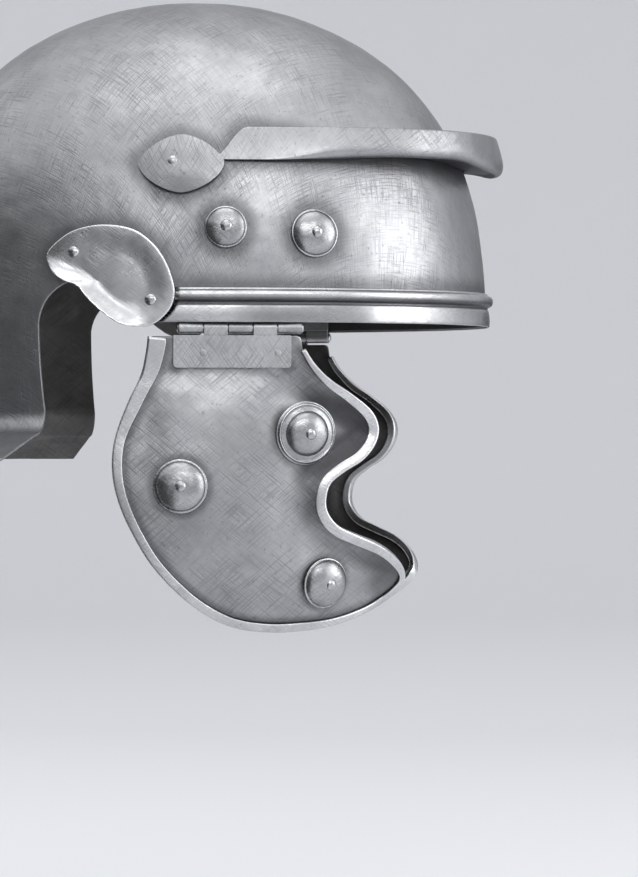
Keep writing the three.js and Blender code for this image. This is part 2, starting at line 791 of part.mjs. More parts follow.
add('bowl', bowlGeometry(), steel);
add('brow_guard', browGuardGeometry(), steel);
add('brow_band', browBandGeometry(), tinned);
addPair('ear_guard', earGuardGeometry(), tinned);
addPair('cheek_guard', cheekGuardGeometry(), steel);
addPair('cheek_edging', cheekEdgingGeometry(), tinned);
addPair('bowl_leaf', leafGeometry(1), steel);
addPair('cheek_leaf', leafGeometry(-1), steel);
addPair('hinge_pin', pinGeometry(), tinned);
addBowlBosses();
addCheekBosses();
addBowlRivet('tab_rivet', tabRivet, 2 * gap + guardThickness);
earRivets.forEach((place, i) => addBowlRivet(`ear_rivet_${i + 1}`, place, 2 * gap + earThickness));
addLeafRivets();

export default helmet;
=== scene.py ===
import math

import bmesh
import bpy
from mathutils import Matrix, Vector, kdtree, noise


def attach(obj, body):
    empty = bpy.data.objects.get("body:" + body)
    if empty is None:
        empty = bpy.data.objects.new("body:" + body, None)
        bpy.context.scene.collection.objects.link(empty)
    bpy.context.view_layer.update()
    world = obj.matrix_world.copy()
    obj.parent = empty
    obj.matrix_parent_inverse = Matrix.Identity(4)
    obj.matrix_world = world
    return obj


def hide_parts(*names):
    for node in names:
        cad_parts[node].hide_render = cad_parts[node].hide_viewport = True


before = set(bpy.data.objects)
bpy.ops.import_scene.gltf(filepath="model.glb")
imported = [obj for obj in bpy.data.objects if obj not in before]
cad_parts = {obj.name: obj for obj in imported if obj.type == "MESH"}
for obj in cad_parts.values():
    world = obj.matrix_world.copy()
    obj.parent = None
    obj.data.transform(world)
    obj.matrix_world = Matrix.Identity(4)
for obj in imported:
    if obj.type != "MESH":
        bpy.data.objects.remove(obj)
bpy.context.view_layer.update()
print("helmet: frame loaded")

# Metres. Heights are given from the lower edge of the front rim, and crownLift lowers them so
# that the origin is inside the crown. The helmet faces -Y and the wearer's right is at -X.
gap = 0.00035  # left between pieces that lie on each other
mergeDistance = 2e-6
smallStep = 0.0005  # to feel which way a surface faces
turnStep = 0.5  # the same, in degrees round the bowl

shell = {
    "halfLength": 0.1215, "halfWidth": 0.1025, "height": 0.135, "wall": 0.0013,
    "planPower": 2.2, "domePower": 2.8, "rearWiden": 0.05, "rimFlare": 0.035,
    "napeDrop": 0.045, "napeTuck": 0.06, "neckBend": 0.009, "neckSlope": 0.01,
    "neckHalfWidth": 0.128, "neckSideY": 0.066, "neckBackY": 0.203, "neckPower": 2.4,
    "archY": 0.035, "archZ": -0.002, "archHalfWidth": 0.02, "archRise": 0.019, "archReach": 0.04,
    "patternRadius": 0.12, "patternZ": 0.016,
}
crownLift = shell["height"] - shell["wall"]
meanRadius = (shell["halfLength"] + shell["halfWidth"]) / 2

studio = {
    "target": (0, -0.0516, -0.1807), "azimuth": 273.5, "distance": 2.0,
    "lens": 196.2, "sensor": 36, "farthest": 60,
    "floorHeight": -0.42, "floorRadius": 6.0, "bendRadius": 1.6, "bendSteps": 8,
    "wallHeight": 3.4, "roundSteps": 72, "matt": 0.9,
    "floorColour": (0.72, 0.725, 0.745, 1), "clothColour": (0.05, 0.05, 0.05, 1),
    "worldColour": (0.97, 0.98, 1.0, 1), "worldStrength": 0.96,
}
softboxes = {
    # name: (place, aimed at, width, height, power)
    "front": ((-0.35, -1.75, 0.30), (0, -0.05, -0.10), 1.15, 1.25, 13),
    "side": ((-2.36, -0.63, 1.15), (0, 0, -0.1), 2.3, 0.6, 16),
    "top": ((-0.4, -0.1, 1.7), (0, 0, -0.1), 1.5, 1.5, 9),
    "back": ((1.2, 1.9, 0.8), (0, 0, -0.1), 1.2, 1.2, 7),
}
flags = {
    # dark cloths that only the metal sees: (place, aimed at, width, height)
    "rear": ((-1.15, 1.65, 0.22), (0, 0, 0.1), 3.2, 1.45),
    "low": ((-0.85, 0.8, -0.41), (-0.85, 0.8, 0), 1.5, 1.5),
    "far": ((1.9, -0.35, -0.17), (0, -0.1, -0.17), 1.7, 0.5),
}


def aimed(thing, place, target):
    thing.location = place
    direction = Vector(target) - Vector(place)
    thing.rotation_euler = direction.to_track_quat("-Z", "Y").to_euler()


def addCamera():
    turn = math.radians(studio["azimuth"])
    away = Vector((math.sin(turn), -math.cos(turn), 0)) * studio["distance"]
    lens = bpy.data.cameras.new("helmetCamera")
    lens.lens = studio["lens"]
    lens.sensor_width = studio["sensor"]
    lens.clip_end = studio["farthest"]
    camera = bpy.data.objects.new("helmetCamera", lens)
    bpy.context.scene.collection.objects.link(camera)
    aimed(camera, Vector(studio["target"]) + away, studio["target"])
    bpy.context.scene.camera = camera


def addSoftboxes():
    for name, (place, target, width, height, power) in softboxes.items():
        light = bpy.data.lights.new(name + "Softbox", "AREA")
        light.shape = "RECTANGLE"
        light.size, light.size_y, light.energy = width, height, power
        softbox = bpy.data.objects.new(light.name, light)
        softbox.visible_camera = False
        bpy.context.scene.collection.objects.link(softbox)
        aimed(softbox, place, target)
    world = bpy.data.worlds.new("studioAir")
    bpy.context.scene.world = world
    world.use_nodes = True
    background = world.node_tree.nodes["Background"]
    background.inputs["Color"].default_value = studio["worldColour"]
    background.inputs["Strength"].default_value = studio["worldStrength"]


# A matt piece of the studio, which isn't part of the helmet.
def addStagePiece(name, bm, colour):
    mesh = bpy.data.meshes.new(name)
    bm.to_mesh(mesh)
    bm.free()
    for face in mesh.polygons:
        face.use_smooth = True
    piece = bpy.data.objects.new(name, mesh)
    bpy.context.scene.collection.objects.link(piece)
    paint = bpy.data.materials.new(name + "Paint")
    paint.use_nodes = True
    shader = paint.node_tree.nodes["Principled BSDF"]
    shader.inputs["Base Color"].default_value = colour
    shader.inputs["Roughness"].default_value = studio["matt"]
    mesh.materials.append(paint)
    return piece


def addFlags():
    for name, (place, target, width, height) in flags.items():
        bm = bmesh.new()
        bmesh.ops.create_grid(bm, x_segments=1, y_segments=1, size=0.5)
        bmesh.ops.scale(bm, vec=(width, height, 1), verts=bm.verts)
        flag = addStagePiece(name + "Flag", bm, studio["clothColour"])
        aimed(flag, place, target)
        flag.visible_camera = flag.visible_diffuse = flag.visible_shadow = False


# A profile of (radius, height) turned on Z.
def spun(profile, steps):
    bm = bmesh.new()
    corners = [bm.verts.new((r, 0, h)) for r, h in profile]
    edges = [bm.edges.new(pair) for pair in zip(corners, corners[1:])]
    bmesh.ops.spin(
        bm, geom=corners + edges, cent=(0, 0, 0), axis=(0, 0, 1), dvec=(0, 0, 0), angle=2 * math.pi,
        steps=steps, use_merge=True, use_normal_flip=False, use_duplicate=False,
    )
    bmesh.ops.remove_doubles(bm, verts=bm.verts, dist=mergeDistance)
    return bm


def addFloor():
    low, bend = studio["floorHeight"], studio["bendRadius"]
    flat = studio["floorRadius"] - bend
    profile = [(0, low), (flat * 0.5, low), (flat, low)]
    for step in range(1, studio["bendSteps"] + 1):
        angle = math.pi / 2 * step / studio["bendSteps"]
        profile.append((flat + bend * math.sin(angle), low + bend * (1 - math.cos(angle))))
    profile.append((studio["floorRadius"], low + studio["wallHeight"]))
    bm = spun(profile, studio["roundSteps"])
    bmesh.ops.recalc_face_normals(bm, faces=bm.faces)
    addStagePiece("studioFloor", bm, studio["floorColour"])


addCamera()
addSoftboxes()
addFlags()
addFloor()
bpy.context.scene.view_settings.view_transform = "Standard"
print("helmet: studio ready")


def fill(tree, socket, value):
    if isinstance(value, bpy.types.NodeSocket):
        tree.links.new(value, socket)
    else:
        socket.default_value = value


def addNode(tree, kind, values=None, **settings):
    made = tree.nodes.new(kind)
    for name, value in settings.items():
        setattr(made, name, value)
    for name, value in (values or {}).items():
        fill(tree, made.inputs[name], value)
    return made


# Each input has the number it starts from, or the kind of its socket.
def newGroup(name, inputs, outputs):
    group = bpy.data.node_groups.new(name, "ShaderNodeTree")
    for socket, start in inputs.items():
        kind = start if isinstance(start, str) else "Float"
        made = group.interface.new_socket(
            name=socket, in_out="INPUT", socket_type="NodeSocket" + kind,
        )
        if kind == "Float":
            made.default_value = start
    for socket, kind in outputs.items():
        group.interface.new_socket(name=socket, in_out="OUTPUT", socket_type="NodeSocket" + kind)
    given, result = (group.nodes.new("NodeGroup" + end) for end in ("Input", "Output"))
    return group, given.outputs, result.inputs


def reckoned(tree, operation, first, second):
    return addNode(tree, "ShaderNodeMath", {0: first, 1: second}, operation=operation).outputs[0]


def times(tree, value, factor):
    return reckoned(tree, "MULTIPLY", value, factor)


def plus(tree, first, second):
    return reckoned(tree, "ADD", first, second)


def ranged(tree, value, low, high, least=0.0):
    values = {"Value": value, "From Min": low, "From Max": high, "To Min": least}
    return addNode(tree, "ShaderNodeMapRange", values).outputs[0]


def noisy(tree, place, scale, detail, roughness=0.5, dimensions="3D"):
    values = {"Vector": place, "Scale": scale, "Detail": detail, "Roughness": roughness}
    return addNode(tree, "ShaderNodeTexNoise", values, noise_dimensions=dimensions).outputs[0]


def blended(tree, low, high, share):
    mix = addNode(tree, "ShaderNodeMix", {0: share}, data_type="RGBA")
    for socket, value in zip([s for s in mix.inputs if s.type == "RGBA"], (low, high)):
        fill(tree, socket, value)
    return [s for s in mix.outputs if s.type == "RGBA"][0]


patina = {
    "strokeEdge": 0.22, "strokeDetail": 2.0, "strokeGrain": 0.55,
    "patchScale": 28.0, "patchDetail": 2.0, "patchRange": (0.36, 0.62), "patchLeast": 0.35,
    "cloudRange": (0.38, 0.66), "cloudDetail": 5.0, "speckRange": (0.62, 0.74), "speckDetail": 2.0,
    # the shade share and colour below paint shade into hollows, under parts and round fittings
    "stainGrain": 0.6, "cloudShare": 0.45, "speckShare": 0.35, "shadeShare": 0.94, "wornShare": 0.8,
    "speckColour": (0.12, 0.115, 0.11, 1), "shadeColour": (0.06, 0.06, 0.064, 1),
    # how much rougher each mark makes the metal
    "rougher": {"Clouds": 0.07, "Strokes": 0.12, "Specks": 0.12, "PaintedShade": 0.08, "Worn": -0.1},
    "edgeTint": (0.62, 0.62, 0.63, 1),
}


# Long fine strokes of the stone and the polisher, in two crossing directions.
def strokesGroup():
    group, given, result = newGroup(
        "crossingStrokes",
        {"Vector": "Vector", "Lean": 0.6, "Length": 0.02, "Width": 0.0005, "Sparse": 0.5},
        {"Strokes": "Float"},
    )
    scale = addNode(group, "ShaderNodeCombineXYZ", {
        "X": reckoned(group, "DIVIDE", 1.0, given["Length"]),
        "Y": reckoned(group, "DIVIDE", 1.0, given["Width"]),
    }).outputs[0]
    layers = []
    for sign in (1, -1):
        turned = addNode(
            group, "ShaderNodeVectorRotate",
            {"Vector": given["Vector"], "Angle": times(group, given["Lean"], sign)},
            rotation_type="Z_AXIS",
        ).outputs[0]
        stretched = addNode(
            group, "ShaderNodeVectorMath", {0: turned, 1: scale}, operation="MULTIPLY",
        ).outputs[0]
        grain = noisy(group, stretched, 1.0, patina["strokeDetail"], patina["strokeGrain"], "2D")
        high = plus(group, given["Sparse"], patina["strokeEdge"])
        layers.append(ranged(group, grain, given["Sparse"], high))
    both = reckoned(group, "MAXIMUM", *layers)
    patches = noisy(
        group, given["Vector"], patina["patchScale"], patina["patchDetail"], dimensions="2D",
    )
    uneven = ranged(group, patches, *patina["patchRange"], patina["patchLeast"])
    fill(group, result["Strokes"], times(group, both, uneven))
    return group


# Soft clouds and small specks of tarnish.
def tarnishGroup():
    group, given, result = newGroup(
        "tarnish", {"Vector": "Vector", "Cloud": 0.03, "Speck": 0.002},
        {"Clouds": "Float", "Specks": "Float"},
    )
    for size in ("Cloud", "Speck"):
        scale = reckoned(group, "DIVIDE", 1.0, given[size])
        detail, limits = patina[size.lower() + "Detail"], patina[size.lower() + "Range"]
        stain = noisy(group, given["Vector"], scale, detail, patina["stainGrain"])
        fill(group, result[size + "s"], ranged(group, stain, *limits))
    return group


# Shallow marks of the hammer.
def hammerGroup():
    group, given, result = newGroup(
        "hammerMarks", {"Vector": "Vector", "Size": 0.008, "Depth": 0.0001}, {"Height": "Float"},
    )
    scale = reckoned(group, "DIVIDE", 1.0, given["Size"])
    marks = noisy(group, given["Vector"], scale, 1.0)
    fill(group, result["Height"], times(group, marks, given["Depth"]))
    return group


# Clouds, strokes, specks, painted shade in the hollows and round fittings, and bare worn edges, one
# over the other.
def agedShadedGroup():
    group, given, result = newGroup(
        "agedShadedMetal",
        {"Clean": "Color", "Dark": "Color", "Bright": "Color", "Clouds": 0.0, "Strokes": 0.0,
         "Specks": 0.0, "PaintedShade": 0.0, "Worn": 0.0, "StrokeShade": 0.5, "Base": 0.35},
        {"Colour": "Color", "Roughness": "Float"},
    )
    colour, rough = given["Clean"], given["Base"]
    for mark, over, share in (
        ("Clouds", given["Dark"], patina["cloudShare"]),
        ("Strokes", given["Dark"], given["StrokeShade"]),
        ("Specks", patina["speckColour"], patina["speckShare"]),
        ("PaintedShade", patina["shadeColour"], patina["shadeShare"]),
        ("Worn", given["Bright"], patina["wornShare"]),
    ):
        colour = blended(group, colour, over, times(group, given[mark], share))
        rough = plus(group, rough, times(group, given[mark], patina["rougher"][mark]))
    fill(group, result["Colour"], colour)
    fill(group, result["Roughness"], rough)
    return group


strokes = strokesGroup()
tarnish = tarnishGroup()
hammer = hammerGroup()
agedShaded = agedShadedGroup()


# The grey of bare metal, a little cooler than neutral.
def steel(grey):
    return (grey, grey + 0.005, grey + 0.015, 1)


finishes = {
    "burnishedIron": {
        "slot": "iron", "follows": "UV", "roughness": 0.34,
        "colour": steel(0.45), "dark": steel(0.20), "bright": steel(0.72),
        "cloud": 0.030, "speck": 0.0016, "sparse": 0.47, "lean": 0.72,
        "strokeLength": 0.014, "strokeWidth": 0.00062, "strokeShade": 0.55, "strokeDepth": 0.00004,
        "hammerSize": 0.0085, "hammerDepth": 0.00022,
    },
    "forgedInside": {
        "slot": "iron", "follows": "Object", "roughness": 0.55, "colour": (0.13, 0.128, 0.125, 1),
        "dark": (0.06, 0.058, 0.056, 1), "bright": (0.3, 0.3, 0.3, 1),
        "cloud": 0.022, "speck": 0.002, "sparse": 0.5, "lean": 0.72,
        "strokeLength": 0.014, "strokeWidth": 0.0008, "strokeShade": 0.3, "strokeDepth": 0.00003,
        "hammerSize": 0.008, "hammerDepth": 0.0004,
    },
    "leafIron": {
        "slot": "iron", "follows": "Object", "roughness": 0.38,
        "colour": steel(0.52), "dark": steel(0.22), "bright": steel(0.72),
        "cloud": 0.014, "speck": 0.0014, "sparse": 0.45, "lean": 0.95,
        "strokeLength": 0.011, "strokeWidth": 0.0006, "strokeShade": 0.55, "strokeDepth": 0.00004,
        "hammerSize": 0.008, "hammerDepth": 0.00006,
    },
    "tinnedTrim": {
        "slot": "tinned", "follows": "Object", "roughness": 0.26,
        "colour": steel(0.67), "dark": steel(0.30), "bright": (0.88, 0.885, 0.89, 1),
        "cloud": 0.016, "speck": 0.0012, "sparse": 0.48, "lean": 0.6,
        "strokeLength": 0.010, "strokeWidth": 0.0005, "strokeShade": 0.42, "strokeDepth": 0.00003,
        "hammerSize": 0.006, "hammerDepth": 0.0001,
    },
    "tinnedBoss": {
        "slot": "tinned", "follows": "Object", "roughness": 0.24,
        "colour": steel(0.44), "dark": steel(0.20), "bright": (0.86, 0.865, 0.87, 1),
        "cloud": 0.009, "speck": 0.0011, "sparse": 0.46, "lean": 0.6,
        "strokeLength": 0.007, "strokeWidth": 0.0005, "strokeShade": 0.5, "strokeDepth": 0.00003,
        "hammerSize": 0.0045, "hammerDepth": 0.00016,
    },
}
finishes["tinnedDull"] = dict(
    finishes["tinnedBoss"], roughness=0.4, lean=0.95, hammerDepth=0.00006,
    colour=steel(0.50), dark=steel(0.22), bright=steel(0.72),
)


def makeMetal(name, look):
    metal = bpy.data.materials.new(name)
    metal.use_nodes = True
    tree = metal.node_tree
    shader = tree.nodes["Principled BSDF"]
    shader.inputs["Metallic"].default_value = 1.0
    shader.inputs["Specular Tint"].default_value = patina["edgeTint"]
    places = addNode(tree, "ShaderNodeTexCoord").outputs
    along = places["UV"]
    if look["follows"] == "Object":  # the strokes lie on the side of the piece
        parts = addNode(tree, "ShaderNodeSeparateXYZ", {0: places["Object"]}).outputs
        turned = {"X": parts["Y"], "Y": parts["Z"], "Z": parts["X"]}
        along = addNode(tree, "ShaderNodeCombineXYZ", turned).outputs[0]
    lines = addNode(tree, "ShaderNodeGroup", {
        "Vector": along, "Lean": look["lean"], "Length": look["strokeLength"],
        "Width": look["strokeWidth"], "Sparse": look["sparse"],
    }, node_tree=strokes).outputs["Strokes"]
    stains = addNode(tree, "ShaderNodeGroup", {
        "Vector": places["Object"], "Cloud": look["cloud"], "Speck": look["speck"],
    }, node_tree=tarnish).outputs
    marks = addNode(tree, "ShaderNodeGroup", {
        "Vector": places["Object"], "Size": look["hammerSize"], "Depth": look["hammerDepth"],
    }, node_tree=hammer).outputs["Height"]
    # the second layer holds shade painted into the colour, in hollows, under parts and round
    # fittings
    worn, paintedShade = (
        addNode(tree, "ShaderNodeAttribute", attribute_name=layer).outputs["Fac"]
        for layer in ("worn", "paintedShade")
    )
    agedShading = addNode(tree, "ShaderNodeGroup", {
        "Clean": look["colour"], "Dark": look["dark"], "Bright": look["bright"],
        "StrokeShade": look["strokeShade"], "Base": look["roughness"], "Strokes": lines,
        "Clouds": stains["Clouds"], "Specks": stains["Specks"], "PaintedShade": paintedShade, "Worn": worn,
    }, node_tree=agedShaded).outputs
    height = plus(tree, marks, times(tree, lines, -look["strokeDepth"]))
    bump = addNode(tree, "ShaderNodeBump", {"Height": height, "Distance": 1.0, "Strength": 1.0})
    fill(tree, shader.inputs["Base Color"], agedShading["Colour"])
    fill(tree, shader.inputs["Roughness"], agedShading["Roughness"])
    fill(tree, shader.inputs["Normal"], bump.outputs[0])
    return metal


for finishName, look in finishes.items():
    look["material"] = makeMetal(finishName, look)
print("helmet: metals mixed")


def signedPower(value, power):
    return math.copysign(abs(value) ** power, value)


def eased(value, low, high):
    share = min(max((value - low) / (high - low), 0), 1)
    return share * share * (3 - 2 * share)


def mixed(low, high, share):
    return low + (high - low) * share


# Rises softly over one span of values and falls again over another.
def between(value, rising, falling):
    return eased(value, *rising) * (1 - eased(value, *falling))


# Reads a list of (place, value) with soft steps between the places.
def stepped(values, place):
    for (low, first), (high, second) in zip(values, values[1:]):
        if place <= high:
            return mixed(first, second, eased(place, low, high))
    return values[-1][1]


# Turns the faces of a closed piece outwards.
def facingOut(bm):
    bm.normal_update()
    bmesh.ops.recalc_face_normals(bm, faces=bm.faces)
    if bm.calc_volume(signed=True) < 0:
        bmesh.ops.reverse_faces(bm, faces=bm.faces)
    return bm


# A flat grid laid over a surface: place(across, along) gives each corner, both from 0 to 1.
def wrapped(across, along, place, kept=None, shade=None):
    bm = bmesh.new()
    bm.loops.layers.uv.new("UVMap")
    # a layer for shade painted into the colour, which shade() gives at each corner
    paintedShade = bm.verts.layers.float.new("paintedShade")
    bmesh.ops.create_grid(bm, x_segments=across, y_segments=along, size=0.5)
    if kept:
        dropped = []
        for face in bm.faces:
            middle = face.calc_center_median()
            if not kept(middle.x + 0.5, middle.y + 0.5):
                dropped.append(face)
        bmesh.ops.delete(bm, geom=dropped, context="FACES")
    for corner in bm.verts:
        u, v = corner.co.x + 0.5, corner.co.y + 0.5
        if shade:
            corner[paintedShade] = shade(u, v)
        corner.co = place(u, v)
    bmesh.ops.remove_doubles(bm, verts=bm.verts, dist=mergeDistance)
    bmesh.ops.recalc_face_normals(bm, faces=bm.faces)
    return bm


# A tube with the given cross-sections, each a closed list of points, one list a station.
# The shades, one for each point of a section, say how much painted shade lies there.
def swept(sections, shades=None):
    stations, size = len(sections), len(sections[0])

    def place(across, along):
        return sections[round(along * (stations - 1))][round(across * size) % size]

    def shade(across, along):
        return shades[round(across * size) % size] if shades else 0

    bm = wrapped(size, stations - 1, place, shade=shade)
    ends = [edge for edge in bm.edges if edge.is_boundary]
    if ends:
        bmesh.ops.holes_fill(bm, edges=ends, sides=0)
    return facingOut(bm)


# Rounds the corners of a closed outline of (a, b, radius), and puts points on its straights.
def roundedOutline(corners, steps=4, fill=2):
    arcs = []
    for i, (a, b, radius) in enumerate(corners):
        here, ends = Vector((a, b)), []
        for other in (corners[i - 1], corners[(i + 1) % len(corners)]):
            way = Vector(other[:2]) - here
            reach = min(radius, 0.98 * way.length * radius / max(radius + other[2], 1e-9))
            ends.append(here + way.normalized() * reach)
        start, end = ends
        arc = []
        for k in range(steps + 1):
            t = k / steps
            arc.append(start * (1 - t) ** 2 + here * 2 * t * (1 - t) + end * t * t)
        arcs.append(arc)
    loop = []
    for i, arc in enumerate(arcs):
        loop.extend(arc)
        following = arcs[(i + 1) % len(arcs)][0]
        for k in range(1, fill + 1):
            loop.append(arc[-1].lerp(following, k / (fill + 1)))
    return loop


# Evenly spaced points on a smooth curve through the given ones.
def smoothCurve(points, count, closed=True, perSpan=24):
    size = len(points)
    spans = size if closed else size - 1

    def at(i):
        if closed:
            return Vector(points[i % size])
        return Vector(points[min(max(i, 0), size - 1)])

    fine = []
    for i in range(spans):
        p0, p1, p2, p3 = at(i - 1), at(i), at(i + 1), at(i + 2)
        for k in range(perSpan):
            t = k / perSpan
            v0, v1 = (p2 - p0) * 0.5, (p3 - p1) * 0.5
            fine.append(
                (2 * p1 - 2 * p2 + v0 + v1) * t ** 3
                + (-3 * p1 + 3 * p2 - 2 * v0 - v1) * t ** 2 + v0 * t + p1
            )
    fine.append(at(spans))
    lengths = [0]
    for a, b in zip(fine, fine[1:]):
        lengths.append(lengths[-1] + (b - a).length)
    wanted = count if closed else count - 1
    loop, k = [], 0
    for i in range(count):
        target = lengths[-1] * i / wanted
        while k < len(fine) - 2 and lengths[k + 1] < target:
            k += 1
        span = max(lengths[k + 1] - lengths[k], 1e-12)
        loop.append(fine[k].lerp(fine[k + 1], min((target - lengths[k]) / span, 1)))
    return loop


# A plate with a rounded edge inside an outline. face(y, z, depth, share) puts a point on it.
def plate(outline, centre, thickness, rings, face, shade=None, edgeSteps=6):
    middle, half = Vector(centre), thickness / 2
    rows = [(k / rings, 0, half) for k in range(rings + 1)]
    for k in range(1, edgeSteps):
        angle = math.pi * k / edgeSteps
        rows.append((1, half * math.sin(angle), half * math.cos(angle)))
    rows += [(k / rings, 0, -half) for k in range(rings, -1, -1)]
    size = len(outline)

    def spot(across, along):
        edge = outline[round(across * size) % size]
        share, push, depth = rows[round(along * (len(rows) - 1))]
        away = (edge - middle).normalized()
        point = middle.lerp(edge - away * half, share) + away * push
        return point.x, point.y, depth, share

    def place(across, along):
        return face(*spot(across, along))

    def shaded(across, along):
        y, z, depth, share = spot(across, along)
        return shade(y, z) if shade and depth > 0 else 0

    return layFlat(wrapped(size, len(rows) - 1, place, shade=shaded))


handwork = {
    "inwards": 0.3, "fineDents": 0.5, "fineScale": 2.3, "shortestEdge": 0.0006, "wearFrom": 0.25,
    "bevelSegments": 2, "bevelAngle": 50,
}


# Lays the pattern: where(x, y, z) says which place of it falls on a corner.
def patterned(bm, where):
    pattern = bm.loops.layers.uv.active
    for face in bm.faces:
        for loop in face.loops:
            loop[pattern].uv = where(*loop.vert.co)
    return bm


# The pattern lies straight on a side piece, and the faces that look inwards are marked.
def layFlat(bm):
    for face in bm.faces:
        face.material_index = 1 if face.normal.x > handwork["inwards"] else 0
    return patterned(bm, lambda x, y, z: (y, z))


# The pattern runs along a strip that goes round the bowl.
def layRound(bm, finer=1.5):
    return patterned(bm, lambda x, y, z: (
        math.atan2(x, -y) * meanRadius * finer, (z + math.hypot(x, y)) * finer,
    ))


# A closed round piece, from a profile that starts and ends on the axis.
def turned(profile, steps):
    return facingOut(spun(profile, steps))


# Lays a turned piece on a surface at (y, z). Its foot bends with the surface, and from the
# stiff height up it keeps its own shape.
def seat(bm, surface, y, z, out, stiff=0.0015):
    middle = surface(y, z, 0)
    normal = (surface(y, z, 2 * smallStep) - middle).normalized()
    side = Vector((0, 0, 1)).cross(normal).normalized()
    up = normal.cross(side)
    for corner in bm.verts:
        a, b, h = corner.co
        bent = surface(y + a * side.y + b * up.y, z + a * side.z + b * up.z, out + h)
        straight = middle + side * a + up * b + normal * (out + h)
        corner.co = bent.lerp(straight, eased(out + h, 0, stiff))
    return facingOut(bm)


# Small uneven dents of handwork, the same on every run.
def dented(bm, depth, size):
    bm.normal_update()
    for corner in bm.verts:
        fine = noise.noise(corner.co / size * handwork["fineScale"])
        wobble = noise.noise(corner.co / size) + handwork["fineDents"] * fine
        corner.co += corner.normal * depth * wobble


def mirroredCopy(bm):
    other = bm.copy()
    bmesh.ops.scale(other, vec=(-1, 1, 1), verts=other.verts)
    bmesh.ops.reverse_faces(other, faces=other.faces)
    return other


# How sharply the surface turns outwards at each corner, for bare worn edges.
def markWear(bm, strength):
    layer = bm.verts.layers.float.get("worn") or bm.verts.layers.float.new("worn")
    for corner in bm.verts:
        total = 0
        for edge in corner.link_edges:
            if len(edge.link_faces) == 2:
                length = max(edge.calc_length(), handwork["shortestEdge"])
                total += edge.calc_face_angle_signed(0) / length
        corner[layer] = min(max(total * strength - handwork["wearFrom"], 0), 1)


def finderOf(points):
    finder = kdtree.KDTree(len(points))
    for index, point in enumerate(points):
        finder.insert(point, index)
    finder.balance()
    return finder


# Painted shade gathers round whatever is riveted on.
def shadeRound(bm, points, near, far, strength):
    finder = finderOf(points)
    paintedShade = bm.verts.layers.float["paintedShade"]
    for corner in bm.verts:
        away = finder.find(corner.co)[2]
        corner[paintedShade] = max(corner[paintedShade], strength * (1 - eased(away, near, far)))


# The wall is the thickness of a single sheet, the edge how far its corners are rounded, and
# touches collects the corners of what lies on the bowl or on a cheek guard.
def addPiece(name, bm, finish, body, nodes, wall=0, edge=0, wear=0.0006, dents=None,
             inside=False, touches=None):
    if dents:
        dented(bm, *dents)
    if wear:
        markWear(bm, wear)
    if touches is not None:
        touches.extend(corner.co.copy() for corner in bm.verts)
    look = finishes[finish]
    mesh = bpy.data.meshes.new(name)
    bm.to_mesh(mesh)
    bm.free()
    for face in mesh.polygons:
        face.use_smooth = True
    mesh.materials.append(look["material"])
    if inside:
        mesh.materials.append(finishes["forgedInside"]["material"])
    piece = bpy.data.objects.new(name, mesh)
    bpy.context.scene.collection.objects.link(piece)
    if wall:
        thicken = piece.modifiers.new("wall", "SOLIDIFY")
        thicken.thickness, thicken.offset, thicken.use_even_offset = wall, -1, True
        thicken.material_offset = 1 if inside else 0
    if edge:
        soften = piece.modifiers.new("edge", "BEVEL")
        soften.width, soften.segments = edge, handwork["bevelSegments"]
        soften.limit_method, soften.angle_limit = "ANGLE", math.radians(handwork["bevelAngle"])
    piece.modifiers.new("normals", "WEIGHTED_NORMAL").keep_sharp = True
    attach(piece, body)
    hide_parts(*nodes)
    return piece


# Adds a piece made for the wearer's right, and its mirror image for the left.
def addPair(name, node, bm, finish, body, **options):
    left = mirroredCopy(bm)
    for side, half in (("right", bm), ("left", left)):
        rides = body if body == "helmet" else f"{body}_{side}"
        addPiece(name + side.capitalize(), half, finish, rides, [f"{node}_{side}"], **options)


onBowl, onCheek = [], []


# How much smaller the bowl's plan is at a height than at the rim.
def planShrink(z):
    if z < 0:
        return 1 - shell["napeTuck"] * (z / shell["napeDrop"]) ** 2
    up = min(z / shell["height"], 1)
    flare = shell["rimFlare"]
    return math.sqrt(max(1 - up ** shell["domePower"], 0)) * (1 + flare * (1 - up)) / (1 + flare)


# A point of the outer surface. The turn is in degrees from the front towards +X.
def skin(turn, z):
    angle, shrink, power = math.radians(turn), planShrink(z), 2 / shell["planPower"]
    x = shell["halfWidth"] * shrink * signedPower(math.sin(angle), power)
    y = -shell["halfLength"] * shrink * signedPower(math.cos(angle), power)
    return Vector((x * (1 + shell["rearWiden"] * y / shell["halfLength"]), y, z - crownLift))


def turnAt(y, z):
    share = min(max(-y / (shell["halfLength"] * planShrink(z)), -1), 1)
    return math.degrees(math.acos(signedPower(share, shell["planPower"] / 2)))


def alongBowl(turn, z):
    return skin(turn + turnStep, z) - skin(turn - turnStep, z)


def levelOut(turn, z):
    along = alongBowl(turn, z)
    return Vector((along.y, -along.x, 0)).normalized()


def offBowl(turn, z, out):
    upward = skin(turn, z + smallStep) - skin(turn, z - smallStep)
    return skin(turn, z) + alongBowl(turn, z).cross(upward).normalized() * out


# A point out from the bowl on the wearer's right.
def besideBowl(y, z, out):
    return offBowl(-turnAt(y, z), z, out)


